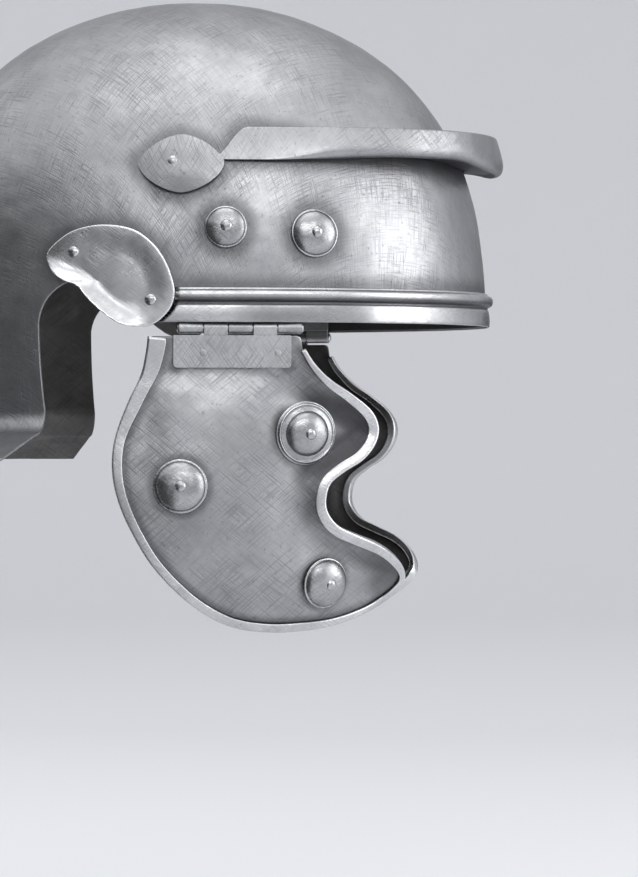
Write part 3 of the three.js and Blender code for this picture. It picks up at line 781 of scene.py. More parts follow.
earGuard = {
    "thickness": 0.0012, "centre": (0.022, 0.017), "rings": 40, "points": 260, "lipPoints": 90,
    "lipReach": 0.0034, "lipWidth": 0.0066, "lipStart": 9, "lipFades": ((0, 0.35), (0.7, 1)),
    "lipPower": 1.9, "rimLift": 0.0016, "rimFrom": 0.45, "rimTo": 1.05,
    "shade": 0.05, "shadeIn": (0.002, 0.0055), "shadeOff": (0.001, 0.002), "outline": [
        (0.043, 0.034), (0.0346, 0.0372), (0.0249, 0.0378), (0.0153, 0.0357), (0.0076, 0.03),
        (0.0026, 0.0223), (-0.0004, 0.0127), (0.0004, 0.0064), (0.0038, 0.0014), (0.009, -0.002),
        (0.0154, -0.0026), (0.0217, -0.001), (0.0282, 0.0036), (0.0334, 0.0086), (0.0376, 0.0136),
        (0.0435, 0.016), (0.0486, 0.0205), (0.0502, 0.027),
    ],
}
earLoop = smoothCurve(earGuard["outline"], earGuard["points"])
lipLine = earGuard["outline"][earGuard["lipStart"]:]
earLip = smoothCurve(lipLine, earGuard["lipPoints"], closed=False)


# The lower edge flares out over the ear, and dies away at both ends.
def earLift(y, z):
    point = Vector((y, z))
    index = min(range(len(earLip)), key=lambda k: (earLip[k] - point).length_squared)
    share, away = index / (len(earLip) - 1), (earLip[index] - point).length
    fade = between(share, *earGuard["lipFades"])
    near = max(1 - away / earGuard["lipWidth"], 0)
    return gap + earGuard["lipReach"] * fade * near ** earGuard["lipPower"]


def earFace(y, z, depth, share):
    rim = earGuard["rimLift"] * eased(share, earGuard["rimFrom"], earGuard["rimTo"])
    return besideBowl(y, z, earLift(y, z) + rim + earGuard["thickness"] / 2 + depth)


# Painted shade darkens the hammered dish a little and leaves its rim and flared lip bright.
def earShade(y, z):
    inner = min((Vector((y, z)) - point).length for point in earLoop[::4])
    flat = 1 - eased(earLift(y, z), *earGuard["shadeOff"])
    return earGuard["shade"] * eased(inner, *earGuard["shadeIn"]) * flat


earPlate = plate(
    earLoop, earGuard["centre"], earGuard["thickness"], earGuard["rings"], earFace, earShade,
)
addPair("earGuardPlate", "ear_guard", earPlate, "tinnedTrim", "helmet", dents=(0.00006, 0.011),
        inside=True, touches=onBowl)
print("helmet: ear guards cut")

browBand = {
    "stations": 240, "clearance": 0.0003,
    # out from the bowl, up from the rim, and how round each corner is
    "section": [
        (0.00035, -0.0007, 0.0002), (0.0013, -0.0007, 0.0005), (0.0016, 0.003, 0.002),
        (0.0012, 0.0061, 0.0006), (0.0007, 0.0067, 0.0003), (0.0008, 0.0074, 0.0003),
        (0.0026, 0.0083, 0.0006), (0.0034, 0.0101, 0.0014), (0.0028, 0.0118, 0.0008),
        (0.0011, 0.0125, 0.0003), (0.0009, 0.0132, 0.0004), (0.00035, 0.0132, 0.0001),
        (0.00035, 0.006, 0.0001),
    ],
    # painted shade lies in the groove and a little of it under the foot, between these heights
    "grooveShade": 0.9, "grooveFrom": (0.0058, 0.0068), "grooveTo": (0.0088, 0.0104),
    "foot": 0.35, "footTo": (-0.0006, 0.0008),
    # painted shade darkens the flat below the bead beside the brow and leaves it bright elsewhere
    "dimShade": 0.5, "shadeTop": 0.0064,
    "shadeAlong": [(-0.086, 0), (-0.072, 1), (-0.036, 1), (-0.02, 0.15)],
}


# Where the band stops at a height, short of the ear guard's outline.
def bandEnd(z):
    found = []
    for a, b in zip(earLoop, earLoop[1:] + earLoop[:1]):
        if (a.y - z) * (b.y - z) <= 0 and a.y != b.y:
            found.append(a.lerp(b, (z - a.y) / (b.y - a.y)).x)
    return turnAt(min(found) - browBand["clearance"], max(z, 0))


def makeBand():
    section = roundedOutline(browBand["section"], steps=4, fill=1)
    ends = [bandEnd(z) for _, z in section]
    sections = []
    for k in range(browBand["stations"] + 1):
        share = 2 * k / browBand["stations"] - 1
        ring = []
        for (out, z), end in zip(section, ends):
            turn = share * end
            ring.append(skin(turn, z) + levelOut(turn, z) * out)
        sections.append(ring)
    shades = []
    for _, z in section:
        grooveShade = between(z, browBand["grooveFrom"], browBand["grooveTo"])
        foot = browBand["foot"] * (1 - eased(z, *browBand["footTo"]))
        shades.append(min(browBand["grooveShade"] * grooveShade + foot, 1))
    bm = swept(sections, shades)
    paintedShade = bm.verts.layers.float["paintedShade"]
    # painted shade on the flat below the bead, beside the brow
    for corner in bm.verts:
        if corner.co.z + crownLift < browBand["shadeTop"]:
            dimShade = browBand["dimShade"] * stepped(browBand["shadeAlong"], corner.co.y)
            corner[paintedShade] = max(corner[paintedShade], dimShade)
    return layRound(bm)


addPiece("browBandStrip", makeBand(), "tinnedTrim", "helmet", ["brow_band"],
         dents=(0.00005, 0.01), touches=onBowl)
print("helmet: brow band fitted")

# A shelf, a raised front and a riveted tab on each side.
browGuard = {
    "shelf": 0.0645, "top": 0.078, "reach": 0.0158, "lean": 0.2, "thickness": 0.0014,
    "fullTurn": 22, "startTurn": 80, "cornerRadius": 0.0072, "leastRadius": 0.0005,
    "lipWidth": 0.006, "lipShare": 0.86, "lipDrop": 0.0005, "grownReach": 0.006,
    "frontDip": 0.0014, "frontTurns": (8, 30),
    "sideLift": 0.0023, "liftFrom": (10, 30), "liftTo": (42, 74),
    "tabY": -0.0023, "tabZ": 0.063, "tabHalfLength": 0.017, "tabHalfHeight": 0.012, "tabPower": 1.6,
    "riseFrom": 0.012, "riseTo": 0.030, "tabDome": 0.0024,
    "tabSteps": 40, "frontSteps": 64,
    "towardsTab": (-0.03, -0.028, -0.026, -0.024, -0.022, -0.0205),
    # painted shade darkens the underside and the channel behind the raised front, corner by corner
    "shades": [0.97] * 30 + [0.7, 0.4, 0.2] + [0] * 17 + [0.7] * 30,
    # painted shade on the middle of each tab, fading towards its rim
    "tabShade": (0.004, 0.017, 0.3),
}


def guardOut(turn):
    g = browGuard
    return g["reach"] * (1 - eased(abs(turn), g["fullTurn"], g["startTurn"]))


def guardStations():
    g = browGuard
    side = turnAt(g["towardsTab"][0], g["tabZ"])
    turns = [side * k / g["frontSteps"] for k in range(g["frontSteps"])]
    turns += [turnAt(y, g["tabZ"]) for y in g["towardsTab"]]
    for k in range(g["tabSteps"] + 1):
        y = g["tabY"] + g["tabHalfLength"] * math.sin(math.pi * (k / g["tabSteps"] - 0.5))
        turns.append(turnAt(y, g["tabZ"]))
    return [-turn for turn in reversed(turns[1:])] + turns


def guardSection(turn):
    g = browGuard
    y = skin(turn, g["tabZ"]).y
    along = min(abs((y - g["tabY"]) / g["tabHalfLength"]), 1)
    half = g["tabHalfHeight"] * max(1 - along ** g["tabPower"], 0) ** (1 / g["tabPower"])
    rise = (g["top"] - g["tabZ"]) * eased(-y, g["riseFrom"], g["riseTo"])
    # the shelf sits a little higher along the sides than over the brow
    lift = g["sideLift"] * between(abs(turn), g["liftFrom"], g["liftTo"])
    low = g["shelf"] + lift
    if y > g["tabY"] - g["tabHalfLength"]:
        low = min(g["tabZ"] - half, g["shelf"])
    high = max(g["tabZ"] + half, g["tabZ"] + rise, low)
    reach, thick = guardOut(turn), g["thickness"]
    grown = eased(reach, 0, g["grownReach"])
    drop = grown * (g["lipDrop"] + g["frontDip"] * (1 - eased(abs(turn), *g["frontTurns"])))
    back, front = gap + reach, gap + reach + thick
    tall = max(high - low, 1e-5)
    outer = min(mixed(g["leastRadius"], g["cornerRadius"], grown), tall / 2)
    inner = max(min(outer - thick, reach), 0.00001)
    lip = min(thick * 0.45, tall / 2)
    width = g["lipWidth"] * grown
    shelfTop = min(low + thick, high)
    corners = [
        (gap, low, 0.0002), (front - width, low, 0.0005),
        (front - g["lipShare"] * width, low - drop, 0.0005),
        (front, low - drop, outer), (front, high, lip), (back, high, lip),
        (back, shelfTop, inner), (gap, shelfTop, 0.0002),
    ]
    ring = []
    for out, z in roundedOutline(corners, steps=5, fill=4):
        dome = 0
        if abs(y - g["tabY"]) < g["tabHalfLength"]:
            across = (z - g["tabZ"]) / g["tabHalfHeight"]
            dome = g["tabDome"] * (1 - along ** 2) * max(1 - across ** 2, 0)
        leaned = g["lean"] * max(z - g["shelf"], 0) * reach / g["reach"]
        out += leaned * (1 if out > gap + 0.5 * reach else 0) + dome
        ring.append(skin(turn, z) + levelOut(turn, z) * out)
    return ring


guardSections = [guardSection(turn) for turn in guardStations()]
guardSheet = layRound(swept(guardSections, browGuard["shades"]))
tabMiddle = besideBowl(browGuard["tabY"], browGuard["tabZ"], 0)
farTab = Vector((-tabMiddle.x, tabMiddle.y, tabMiddle.z))
# painted shade on the middle of each tab
shadeRound(guardSheet, [tabMiddle, farTab], *browGuard["tabShade"])
addPiece("browGuardSheet", guardSheet, "burnishedIron", "helmet", ["brow_guard"],
         dents=(0.00008, 0.012), touches=onBowl)
print("helmet: brow guard bent")

cheek = {
    "thickness": 0.0013, "centre": (-0.022, -0.075), "points": 300, "rings": 44,
    "frontCorners": 20, "frontPoints": 120, "topSteps": 40, "edgeEvery": 6, "topEvery": 4,
    "hingeX": 0.0969, "hingeY": -0.026, "hingeZ": -0.0029, "toeIn": 0.18, "knuckleRadius": 0.0024,
    "leafThickness": 0.001, "flatDrop": 0.019, "fullDrop": 0.122,
    "bulge": 0.054, "bulgePower": 1.4, "turnOver": 0.806,
    "wrap": 0.006, "wrapY": -0.02, "wrapReach": 0.05, "wrapDown": (0.012, 0.045),
    "chinTurnIn": 0.02, "chinAlong": (0.048, 0.1), "chinDown": (0.07, 0.11),
    "hollow": 0.0034, "hollowIn": ((0, 0.0105), (0.0105, 0.03)), "hollowDown": (0.014, 0.03),
    "fold": 0.0016, "foldDown": ((0.0165, 0.026), (0.026, 0.064)),
    "foldAlong": ((-0.05, -0.034), (-0.001, 0.013)),
    # how much painted shade lies in the dip at each height, and how wide
    "dipShade": [
        (-0.118, 0.35), (-0.1, 0.72), (-0.085, 0.4), (-0.07, 0.5), (-0.056, 1.0), (-0.034, 1.0),
        (-0.02, 0.35), (-0.006, 0.15),
    ],
    "dipShadeWidth": [(-0.07, 0.008), (-0.055, 0.0115), (-0.036, 0.0115), (-0.02, 0.006)],
    "dipShadeFade": 0.009, "bossShade": (0.0009, 0.0045, 0.6),
    # painted shade darkens everything a little but the fold, left bright as a painted highlight,
    # between these heights and along it
    "dimShade": 0.14, "highlightUp": [(-0.0375, 0), (-0.0325, 1), (-0.026, 1), (-0.021, 0)],
    "highlightAlong": [(-0.052, 0), (-0.038, 1), (0.002, 1), (0.014, 0)],
    "outline": [
        (-0.0495, -0.0063), (-0.0518, -0.011), (-0.0555, -0.017), (-0.062, -0.0235),
        (-0.07, -0.029), (-0.0775, -0.0355), (-0.0803, -0.042), (-0.0792, -0.049),
        (-0.0745, -0.0555), (-0.067, -0.0605), (-0.0618, -0.065), (-0.06, -0.0705),
        (-0.0605, -0.076), (-0.0645, -0.0815), (-0.072, -0.0853), (-0.0805, -0.0893),
        (-0.0863, -0.0938), (-0.0893, -0.0985), (-0.0896, -0.1031), (-0.0869, -0.1076),
        (-0.0808, -0.1128), (-0.073, -0.1175), (-0.062, -0.1216), (-0.05, -0.1235),
        (-0.036, -0.124), (-0.022, -0.1218), (-0.01, -0.1156), (0.0005, -0.1067),
        (0.0095, -0.0962), (0.0163, -0.0845), (0.021, -0.074), (0.0237, -0.0635),
        (0.024, -0.053), (0.022, -0.043), (0.0176, -0.0315), (0.013, -0.0218),
        (0.011, -0.013), (0.0102, -0.0064), (0.0075, -0.0063),
    ],
}
edging = {
    "stations": 330, "thickness": 0.0008, "slack": 0.0005,
    # how wide it is folded over, from the front of the hinge round to the back of it
    "widths": [
        (0, 0.0022), (0.06, 0.0031), (0.12, 0.0038), (0.2, 0.0034), (0.26, 0.0038),
        (0.35, 0.0033), (0.385, 0.0021), (0.43, 0.0024), (0.52, 0.0034), (0.62, 0.0038),
        (0.75, 0.0039), (0.86, 0.0042), (0.93, 0.0056), (1, 0.0072),
    ],
}

# The line round a guard that its edging follows, and the part of it in front.
edgeCurve = smoothCurve(cheek["outline"][1:-1], edging["stations"] + 1, closed=False)
frontLine = cheek["outline"][1:cheek["frontCorners"]]
frontEdge = smoothCurve(frontLine, cheek["frontPoints"], closed=False)
frontFinder = finderOf([(point.x, point.y, 0) for point in frontEdge])


# How far the middle surface is from the middle plane: it hangs flat from the hinge, bulges over
# the cheek, turns in along its edges and at the chin, and dips just behind its front edge.
def cheekOut(y, z):
    c = cheek
    drop = c["hingeZ"] - z
    down = max((drop - c["flatDrop"]) / (c["fullDrop"] - c["flatDrop"]), 0)
    bulge = c["bulge"] * down ** c["bulgePower"] * (c["turnOver"] - down)
    wrap = c["wrap"] * ((y - c["wrapY"]) / c["wrapReach"]) ** 2 * eased(drop, *c["wrapDown"])
    chin = c["chinTurnIn"] * eased(-y, *c["chinAlong"]) * eased(drop, *c["chinDown"])
    away = frontFinder.find((y, z, 0))[2]
    hollow = c["hollow"] * between(away, *c["hollowIn"]) * eased(drop, *c["hollowDown"])
    # a soft fold just below the hinge leaf catches the light
    fold = c["fold"] * between(drop, *c["foldDown"]) * between(y, *c["foldAlong"])
    leafBack = c["knuckleRadius"] - c["leafThickness"] - gap
    middle = c["hingeX"] + c["toeIn"] * (y - c["hingeY"]) + leafBack - c["thickness"] / 2
    return middle + bulge + fold - wrap - chin - hollow


def cheekPoint(y, z, out):
    along = cheekOut(y + smallStep, z) - cheekOut(y - smallStep, z)
    up = cheekOut(y, z + smallStep) - cheekOut(y, z - smallStep)
    normal = Vector((-1, -along / (2 * smallStep), -up / (2 * smallStep))).normalized()
    return Vector((-cheekOut(y, z), y, z - crownLift)) + normal * out


# Painted shade lies in the dip behind the front edging, and a little of it darkens everything
# but the fold below the hinge, which is left bright as a painted highlight.
def cheekShade(y, z):
    away = frontFinder.find((y, z, 0))[2]
    width = stepped(cheek["dipShadeWidth"], z)
    dip = stepped(cheek["dipShade"], z) * (1 - eased(away, width, width + cheek["dipShadeFade"]))
    highlight = stepped(cheek["highlightUp"], z) * stepped(cheek["highlightAlong"], y)
    return max(dip, cheek["dimShade"] * (1 - highlight))


# The way from the edging's line into the guard.
def inwardAt(k):
    before, after = edgeCurve[max(k - 1, 0)], edgeCurve[min(k + 1, len(edgeCurve) - 1)]
    along = (after - before).normalized()
    return Vector((-along.y, along.x))


def makeCheekPlate():
    inset = edging["thickness"] + gap
    edge = [point + inwardAt(k) * inset for k, point in enumerate(edgeCurve)]
    front, back = Vector(cheek["outline"][0]), Vector(cheek["outline"][-1])
    steps = cheek["topSteps"]
    top = [back.lerp(front, k / steps) for k in range(steps + 1)]
    # the corners beside the hinge are rounded by the smooth curve
    points = edge[::cheek["edgeEvery"]] + [edge[-1]] + top[::cheek["topEvery"]]
    outline = smoothCurve(points, cheek["points"], perSpan=8)
    bm = plate(
        outline, cheek["centre"], cheek["thickness"], cheek["rings"],
        lambda y, z, depth, share: cheekPoint(y, z, depth), cheekShade,
    )
    # painted shade round the bosses, the edging and the hinge leaf
    shadeRound(bm, onCheek, *cheek["bossShade"])
    return bm


def makeEdging():
    slot = cheek["thickness"] / 2 + edging["slack"]
    outer, thick = slot + edging["thickness"], edging["thickness"]
    sections = []
    for k, middle in enumerate(edgeCurve):
        inward = inwardAt(k)
        width = stepped(edging["widths"], k / (len(edgeCurve) - 1))
        corners = [
            (0, -outer, 0.0009), (width, -outer, 0.0005), (width, -slot, 0.0002),
            (thick, -slot, 0.0002), (thick, slot, 0.0002), (width, slot, 0.0002),
            (width, outer, 0.0005), (0, outer, 0.0009),
        ]
        ring = []
        for into, out in roundedOutline(corners, steps=3, fill=1):
            place = middle + inward * into
            ring.append(cheekPoint(place.x, place.y, out))
        sections.append(ring)
    return swept(sections)


addPair("cheekEdge", "cheek_edging", makeEdging(), "tinnedTrim", "cheek", dents=(0.00004, 0.008),
        touches=onCheek)
print("helmet: cheek guards edged")

# The hinges are made along Y and then turned in with the cheek guards.
hinge = {
    "length": 0.0495, "knuckles": 5, "spacing": 0.0004, "rollEnd": 300, "rollSteps": 30,
    "leafHeight": 0.016, "leafGap": 0.003, "leafCorner": 0.0015, "leafEdge": 0.00018,
    "bowlSpan": (-0.02475, 0.02475), "cheekSpan": (-0.0203, 0.027),
    "rivetY": 0.015, "rivetDrop": 0.01, "pinRadius": 0.0011, "roundSteps": 28,
    # (radius, height) of the pin's head, from its top
    "pinHead": [(0, 0.0008), (0.00114, 0.0007), (0.0019, 0.0002), (0.0019, 0)],
}
hingePlace = (
    Matrix.Translation((-cheek["hingeX"], cheek["hingeY"], cheek["hingeZ"] - crownLift))
    @ Matrix.Rotation(math.atan(cheek["toeIn"]), 4, "Z")
)


# A leaf stands up inside the bowl (way 1) or hangs outside the cheek guard (way -1).
def makeLeaf(way):
    h, thick = hinge, cheek["leafThickness"]
    outer, inner = cheek["knuckleRadius"], cheek["knuckleRadius"] - thick
    start, end = h["bowlSpan"] if way > 0 else h["cheekSpan"]
    tall, middle = h["leafHeight"] - h["leafGap"], way * (h["leafHeight"] + h["leafGap"]) / 2
    bm = bmesh.new()
    slab = bmesh.ops.create_cube(bm, size=1)["verts"]
    bmesh.ops.scale(bm, vec=(thick, end - start, tall), verts=slab)
    spot = (way * (inner + outer) / 2, (start + end) / 2, middle)
    bmesh.ops.translate(bm, vec=spot, verts=slab)
    corners = [
        edge for edge in bm.edges
        if abs(edge.verts[0].co.x - edge.verts[1].co.x) > 0.5 * thick
        and abs(edge.verts[0].co.z) > 0.5 * h["leafHeight"]
    ]
    bmesh.ops.bevel(
        bm, geom=corners, offset=h["leafCorner"], affect="EDGES", segments=5, profile=0.5,
        material=-1,
    )
    pitch = h["length"] / h["knuckles"]
    roll = [Vector((outer, 0, h["leafGap"])), Vector((outer, 0, h["leafGap"] / 2))]
    steps = range(h["rollSteps"] + 1)
    for radius, order in ((outer, steps), (inner, reversed(steps))):
        for k in order:
            angle = -math.radians(h["rollEnd"]) * k / h["rollSteps"]
            roll.append(Vector((math.cos(angle), 0, math.sin(angle))) * radius)
    roll += [Vector((inner, 0, h["leafGap"] / 2)), Vector((inner, 0, h["leafGap"]))]
    for i in range(0 if way > 0 else 1, h["knuckles"], 2):
        near = -h["length"] / 2 + i * pitch + h["spacing"] / 2
        far = near + pitch - h["spacing"]
        ring = [bm.verts.new(Vector((way * p.x, near, way * p.z))) for p in roll]
        cap = bm.faces.new(ring)
        grown = bmesh.ops.extrude_face_region(bm, geom=[cap])["geom"]
        moved = [item for item in grown if isinstance(item, bmesh.types.BMVert)]
        bmesh.ops.translate(bm, vec=(0, far - near, 0), verts=moved)
    bmesh.ops.transform(bm, matrix=hingePlace, verts=bm.verts)
    return facingOut(bm)


def makePin():
    radius, half = hinge["pinRadius"], hinge["length"] / 2
    profile = [(r, -half - h) for r, h in hinge["pinHead"]] + [(radius, -half), (radius, half)]
    profile += [(r, half + h) for r, h in reversed(hinge["pinHead"])]
    bm = turned(profile, hinge["roundSteps"])
    upright = Matrix.Rotation(math.pi / 2, 3, "X")
    bmesh.ops.rotate(bm, cent=(0, 0, 0), matrix=upright, verts=bm.verts)
    bmesh.ops.transform(bm, matrix=hingePlace, verts=bm.verts)
    return bm


addPair("bowlHingeLeaf", "bowl_leaf", makeLeaf(1), "leafIron", "helmet", edge=hinge["leafEdge"],
        wear=0)
addPair("cheekHingeLeaf", "cheek_leaf", makeLeaf(-1), "leafIron", "cheek", edge=hinge["leafEdge"],
        wear=0, touches=onCheek)
addPair("hingePinRod", "hinge_pin", makePin(), "tinnedTrim", "helmet", wear=0)
print("helmet: hinges rolled")

bosses = {
    # each place is (y, z, radius), with z from the rim
    "bowl": {
        "places": [(-0.0204, 0.0373, 0.0084), (-0.0551, 0.035, 0.0097)],
        "height": 0.46, "steps": 72, "rivet": "Rivet", "head": "smallHead", "sunk": 0.0003,
    },
    "cheek": {
        "places": [
            (-0.003, -0.066, 0.0108), (-0.0515, -0.0448, 0.0128), (-0.0585, -0.1046, 0.0102),
        ],
        "height": 0.5, "steps": 84, "rivet": "Knob", "head": "knobHead", "sunk": 0.0004,
        "ringed": 2,
    },
    "wear": 0.0004, "dents": (0.00009, 0.004), "footShare": 0.93, "domeSteps": 26,
    "domePower": 0.96, "ringShare": 0.7, "ringOutside": 0.96, "ringRise": 0.0012,
    "ringSteps": 14, "ribAt": 0.22, "ribWidth": 0.13, "ribHeight": 0.0007,
    # in from the outside of the brim, and up
    "brim": [(0.0002, 0), (0, 0.0002), (0, 0.0005), (0.0001, 0.0007), (0.0003, 0.0008)],
}
rivets = {
    "ear": [(0.0091, 0.0082), (0.04, 0.0273)], "tab": (0.001, 0.063), "tabOut": 0.0011,
    "smallHead": (0.0024, 0.0015), "knobHead": (0.0023, 0.0015), "underHead": (0.97, -0.0001),
    "shank": 0.0014, "tail": 0.0023, "tailHeight": 0.0009, "steps": 32, "headSteps": 8,
    "tailSteps": 5,
    "flushHead": [(0, 0.00012), (0.0009, 0.0001), (0.0013, 0.00004), (0.0014, -0.0001)],
}


# A thin brim and a round dome on it. A ringed boss is a wide disc with a rib, and a smaller dome.
def bossProfile(radius, height, ringed):
    profile = [(0, 0)] + [(radius - into, up) for into, up in bosses["brim"]]
    brim = bosses["brim"][-1][1]
    foot, rise = radius * bosses["footShare"], brim
    if ringed:
        foot, rise = radius * bosses["ringShare"], brim + bosses["ringRise"]
        for k in range(bosses["ringSteps"] + 1):
            share = k / bosses["ringSteps"]
            r = mixed(radius * bosses["ringOutside"], foot, share)
            rib = math.exp(-((share - bosses["ribAt"]) / bosses["ribWidth"]) ** 2)
            profile.append((r, mixed(brim, rise, share) + bosses["ribHeight"] * rib))
    steps = bosses["domeSteps"]
    for k in range(1 if ringed else 0, steps + 1):
        angle = math.pi / 2 * k / steps
        h = rise + (height - rise) * math.sin(angle) ** bosses["domePower"]
        profile.append((foot * math.cos(angle) if k < steps else 0, h))
    return profile


# The end that is hammered over inside, below the thickness it grips.
def tailProfile(grip):
    profile, steps = [(rivets["shank"], -grip)], rivets["tailSteps"]
    for k in range(steps + 1):
        angle = math.pi / 2 * k / steps
        r = rivets["tail"] * math.cos(angle) if k < steps else 0
        profile.append((r, -grip - rivets["tailHeight"] * math.sin(angle)))
    return profile


def rivetProfile(headRadius, headHeight, grip):
    profile, steps = [], rivets["headSteps"]
    for k in range(steps + 1):
        angle = math.pi / 2 * (1 - k / steps)
        profile.append((headRadius * math.cos(angle) if k else 0, headHeight * math.sin(angle)))
    share, under = rivets["underHead"]
    return profile + [(headRadius * share, under), (rivets["shank"], under)] + tailProfile(grip)


def addRivet(name, node, surface, place, out, head, grip, body):
    bm = seat(turned(rivetProfile(*head, grip), rivets["steps"]), surface, *place, out)
    addPair(name, node, bm, "tinnedBoss", body)


for place, surface, out, wall, body, touches in (
    ("bowl", besideBowl, gap, shell["wall"], "helmet", onBowl),
    ("cheek", cheekPoint, cheek["thickness"] / 2 + gap, cheek["thickness"], "cheek", onCheek),
):
    kind = bosses[place]
    for index, (y, z, radius) in enumerate(kind["places"], 1):
        height, node = kind["height"] * radius, f"{place}_boss_{index}"
        profile = bossProfile(radius, height, index == kind.get("ringed"))
        bm = seat(turned(profile, kind["steps"]), surface, y, z, out)
        addPair(f"{place}Boss{index}", node, bm, "tinnedBoss", body,
                wear=bosses["wear"], dents=bosses["dents"], touches=touches)
        addRivet(f"{place}Boss{kind['rivet']}{index}", node + "_rivet", surface, (y, z),
                 out + height - kind["sunk"], rivets[kind["head"]], height + wall + gap, body)

earDepth = 2 * gap + earGuard["thickness"]
for index, place in enumerate(rivets["ear"], 1):
    addRivet(f"earRivet{index}", f"ear_rivet_{index}", besideBowl, place, earDepth,
             rivets["smallHead"], earDepth + shell["wall"], "helmet")
addRivet("tabRivet", "tab_rivet", besideBowl, rivets["tab"],
         gap + browGuard["thickness"] + rivets["tabOut"], rivets["smallHead"],
         3 * gap + browGuard["thickness"] + shell["wall"], "helmet")


# Two rivets hold each leaf, hammered flush outside and spread inside.
def addLeafRivets():
    bowlFace = abs(besideBowl(cheek["hingeY"], hinge["rivetDrop"], 0).x) - cheek["hingeX"]
    outer, sideways = cheek["knuckleRadius"], Matrix.Rotation(-math.pi / 2, 3, "Y")
    underPlate = outer - cheek["leafThickness"] - cheek["thickness"] - 2 * gap
    for place, way, outside, inside, body in (
        ("bowl", 1, bowlFace - shell["wall"] / 2, -outer - gap, "helmet"),
        ("cheek", -1, outer, underPlate, "cheek"),
    ):
        for index, along in enumerate((-hinge["rivetY"], hinge["rivetY"]), 1):
            profile = rivets["flushHead"] + tailProfile(outside - inside)
            bm = turned(profile, hinge["roundSteps"])
            bmesh.ops.rotate(bm, cent=(0, 0, 0), matrix=sideways, verts=bm.verts)
            spot = (-outside, along, way * hinge["rivetDrop"])
            bmesh.ops.translate(bm, vec=spot, verts=bm.verts)
            bmesh.ops.transform(bm, matrix=hingePlace, verts=bm.verts)
            addPair(f"{place}LeafRivet{index}", f"{place}_leaf_rivet_{index}", bm, "tinnedDull",
                    body, wear=0)


addLeafRivets()
print("helmet: bosses and rivets set")

# The sheets come last, because painted shade gathers round everything that is riveted to them.
addPair("cheekPlate", "cheek_guard", makeCheekPlate(), "burnishedIron", "cheek",
        dents=(0.00014, 0.014), inside=True)
print("helmet: cheek guards shaped")

# Bowl, nape and neck guard are one sheet.
bowlSheet = {
    "columns": 320, "rimRow": 92, "napeRows": 14, "bendRows": 8, "neckRows": 24,
    "archStart": 0.5, "archEnd": 0.6375, "dents": (0.0002, 0.014), "edge": 0.0004,
    "fittingShade": (0.0012, 0.0078, 0.62),
}


# Angles up the dome whose heights are evenly spaced along the surface, from the crown down.
def evenRise(rows, fine=4000):
    def at(angle):
        z = shell["height"] * math.sin(angle) ** (2 / shell["domePower"])
        return Vector((meanRadius * planShrink(z), z))

    lengths, last = [0], at(math.pi / 2)
    for k in range(1, fine + 1):
        point = at(math.pi / 2 * (1 - k / fine))
        lengths.append(lengths[-1] + (point - last).length)
        last = point
    heights, k = [], 0
    for row in range(rows + 1):
        while k < fine and lengths[k] < lengths[-1] * row / rows - 1e-12:
            k += 1
        heights.append(at(math.pi / 2 * (1 - k / fine)).y)
    heights[0], heights[-1] = shell["height"], 0
    return heights


# The pattern is centred on the crown and runs down from it on all sides.
def fromCrown(x, y, z):
    rise = z - shell["patternZ"] + crownLift
    fall = shell["patternRadius"] * math.atan2(math.hypot(x, y), rise)
    away = math.atan2(x, -y)
    return fall * math.sin(away), fall * math.cos(away)


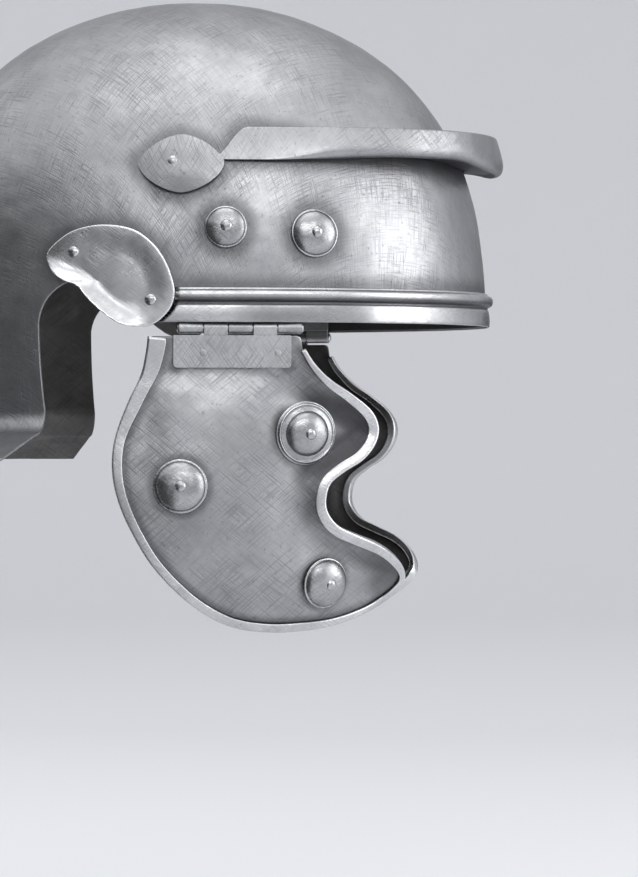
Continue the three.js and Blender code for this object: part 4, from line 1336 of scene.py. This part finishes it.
def makeBowl():
    s = shell
    rise = evenRise(bowlSheet["rimRow"])
    columns, rim = bowlSheet["columns"], bowlSheet["rimRow"]
    naped = rim + bowlSheet["napeRows"]
    bent = naped + bowlSheet["bendRows"]
    rows = bent + bowlSheet["neckRows"]
    start, end = bowlSheet["archStart"], bowlSheet["archEnd"]
    low = math.asin(-s["archZ"] / s["archRise"])
    firstTurn = turnAt(s["archY"] - s["archHalfWidth"] * math.cos(low), 0)
    lastTurn = turnAt(s["archY"] + s["archHalfWidth"] * math.cos(low), 0)

    def place(across, along):
        row = round(along * rows)
        half = 1 - abs(1 - 2 * across)
        side = 1 if across <= 0.5 else -1
        z = rise[min(row, rim)]
        if half <= start:
            turn = firstTurn * half / start
        elif half < end:
            share = (half - start) / (end - start)
            turn = mixed(firstTurn, lastTurn, share)
            if z < s["archReach"]:
                angle = mixed(low, math.pi - low, share)
                edgeZ = s["archZ"] + s["archRise"] * math.sin(angle)
                edgeTurn = turnAt(s["archY"] - s["archHalfWidth"] * math.cos(angle), edgeZ)
                turn = mixed(edgeTurn, turn, eased(z, 0, s["archReach"]))
                z = edgeZ + z / s["archReach"] * (s["archReach"] - edgeZ)
        else:
            turn = mixed(lastTurn, 180, (half - end) / (1 - end))
        if row <= rim:
            return skin(side * turn, z)
        straight = s["napeDrop"] - s["neckBend"]
        if row <= naped:
            return skin(side * turn, -straight * (row - rim) / bowlSheet["napeRows"])
        point = skin(side * turn, -straight)
        bend = math.pi / 2 * min((row - naped) / bowlSheet["bendRows"], 1)
        point += levelOut(side * turn, -straight) * s["neckBend"] * (1 - math.cos(bend))
        point.z -= s["neckBend"] * math.sin(bend)
        if row <= bent:
            return point
        share = max((turn - lastTurn) / (180 - lastTurn), 0) * math.pi / 2
        power = 2 / s["neckPower"]
        edge = Vector((
            side * s["neckHalfWidth"] * signedPower(math.cos(share), power),
            mixed(s["neckSideY"], s["neckBackY"], signedPower(math.sin(share), power)),
            -s["napeDrop"] - s["neckSlope"] - crownLift,
        ))
        return point.lerp(edge, (row - bent) / bowlSheet["neckRows"])

    def kept(across, along):
        return along * rows < rim or 1 - abs(1 - 2 * across) > end

    bm = wrapped(columns, rows, place, kept=kept)
    top = max(bm.faces, key=lambda face: face.calc_center_median().z)
    if top.normal.z < 0:
        bmesh.ops.reverse_faces(bm, faces=bm.faces)
    patterned(bm, fromCrown)
    # painted shade round the ear guards, the brow band, the brow guard and the bosses
    shadeRound(bm, onBowl, *bowlSheet["fittingShade"])
    return bm


addPiece("bowlSheet", makeBowl(), "burnishedIron", "helmet", ["bowl"], wall=shell["wall"],
         edge=bowlSheet["edge"], wear=0, dents=bowlSheet["dents"], inside=True)
print("helmet: bowl raised")
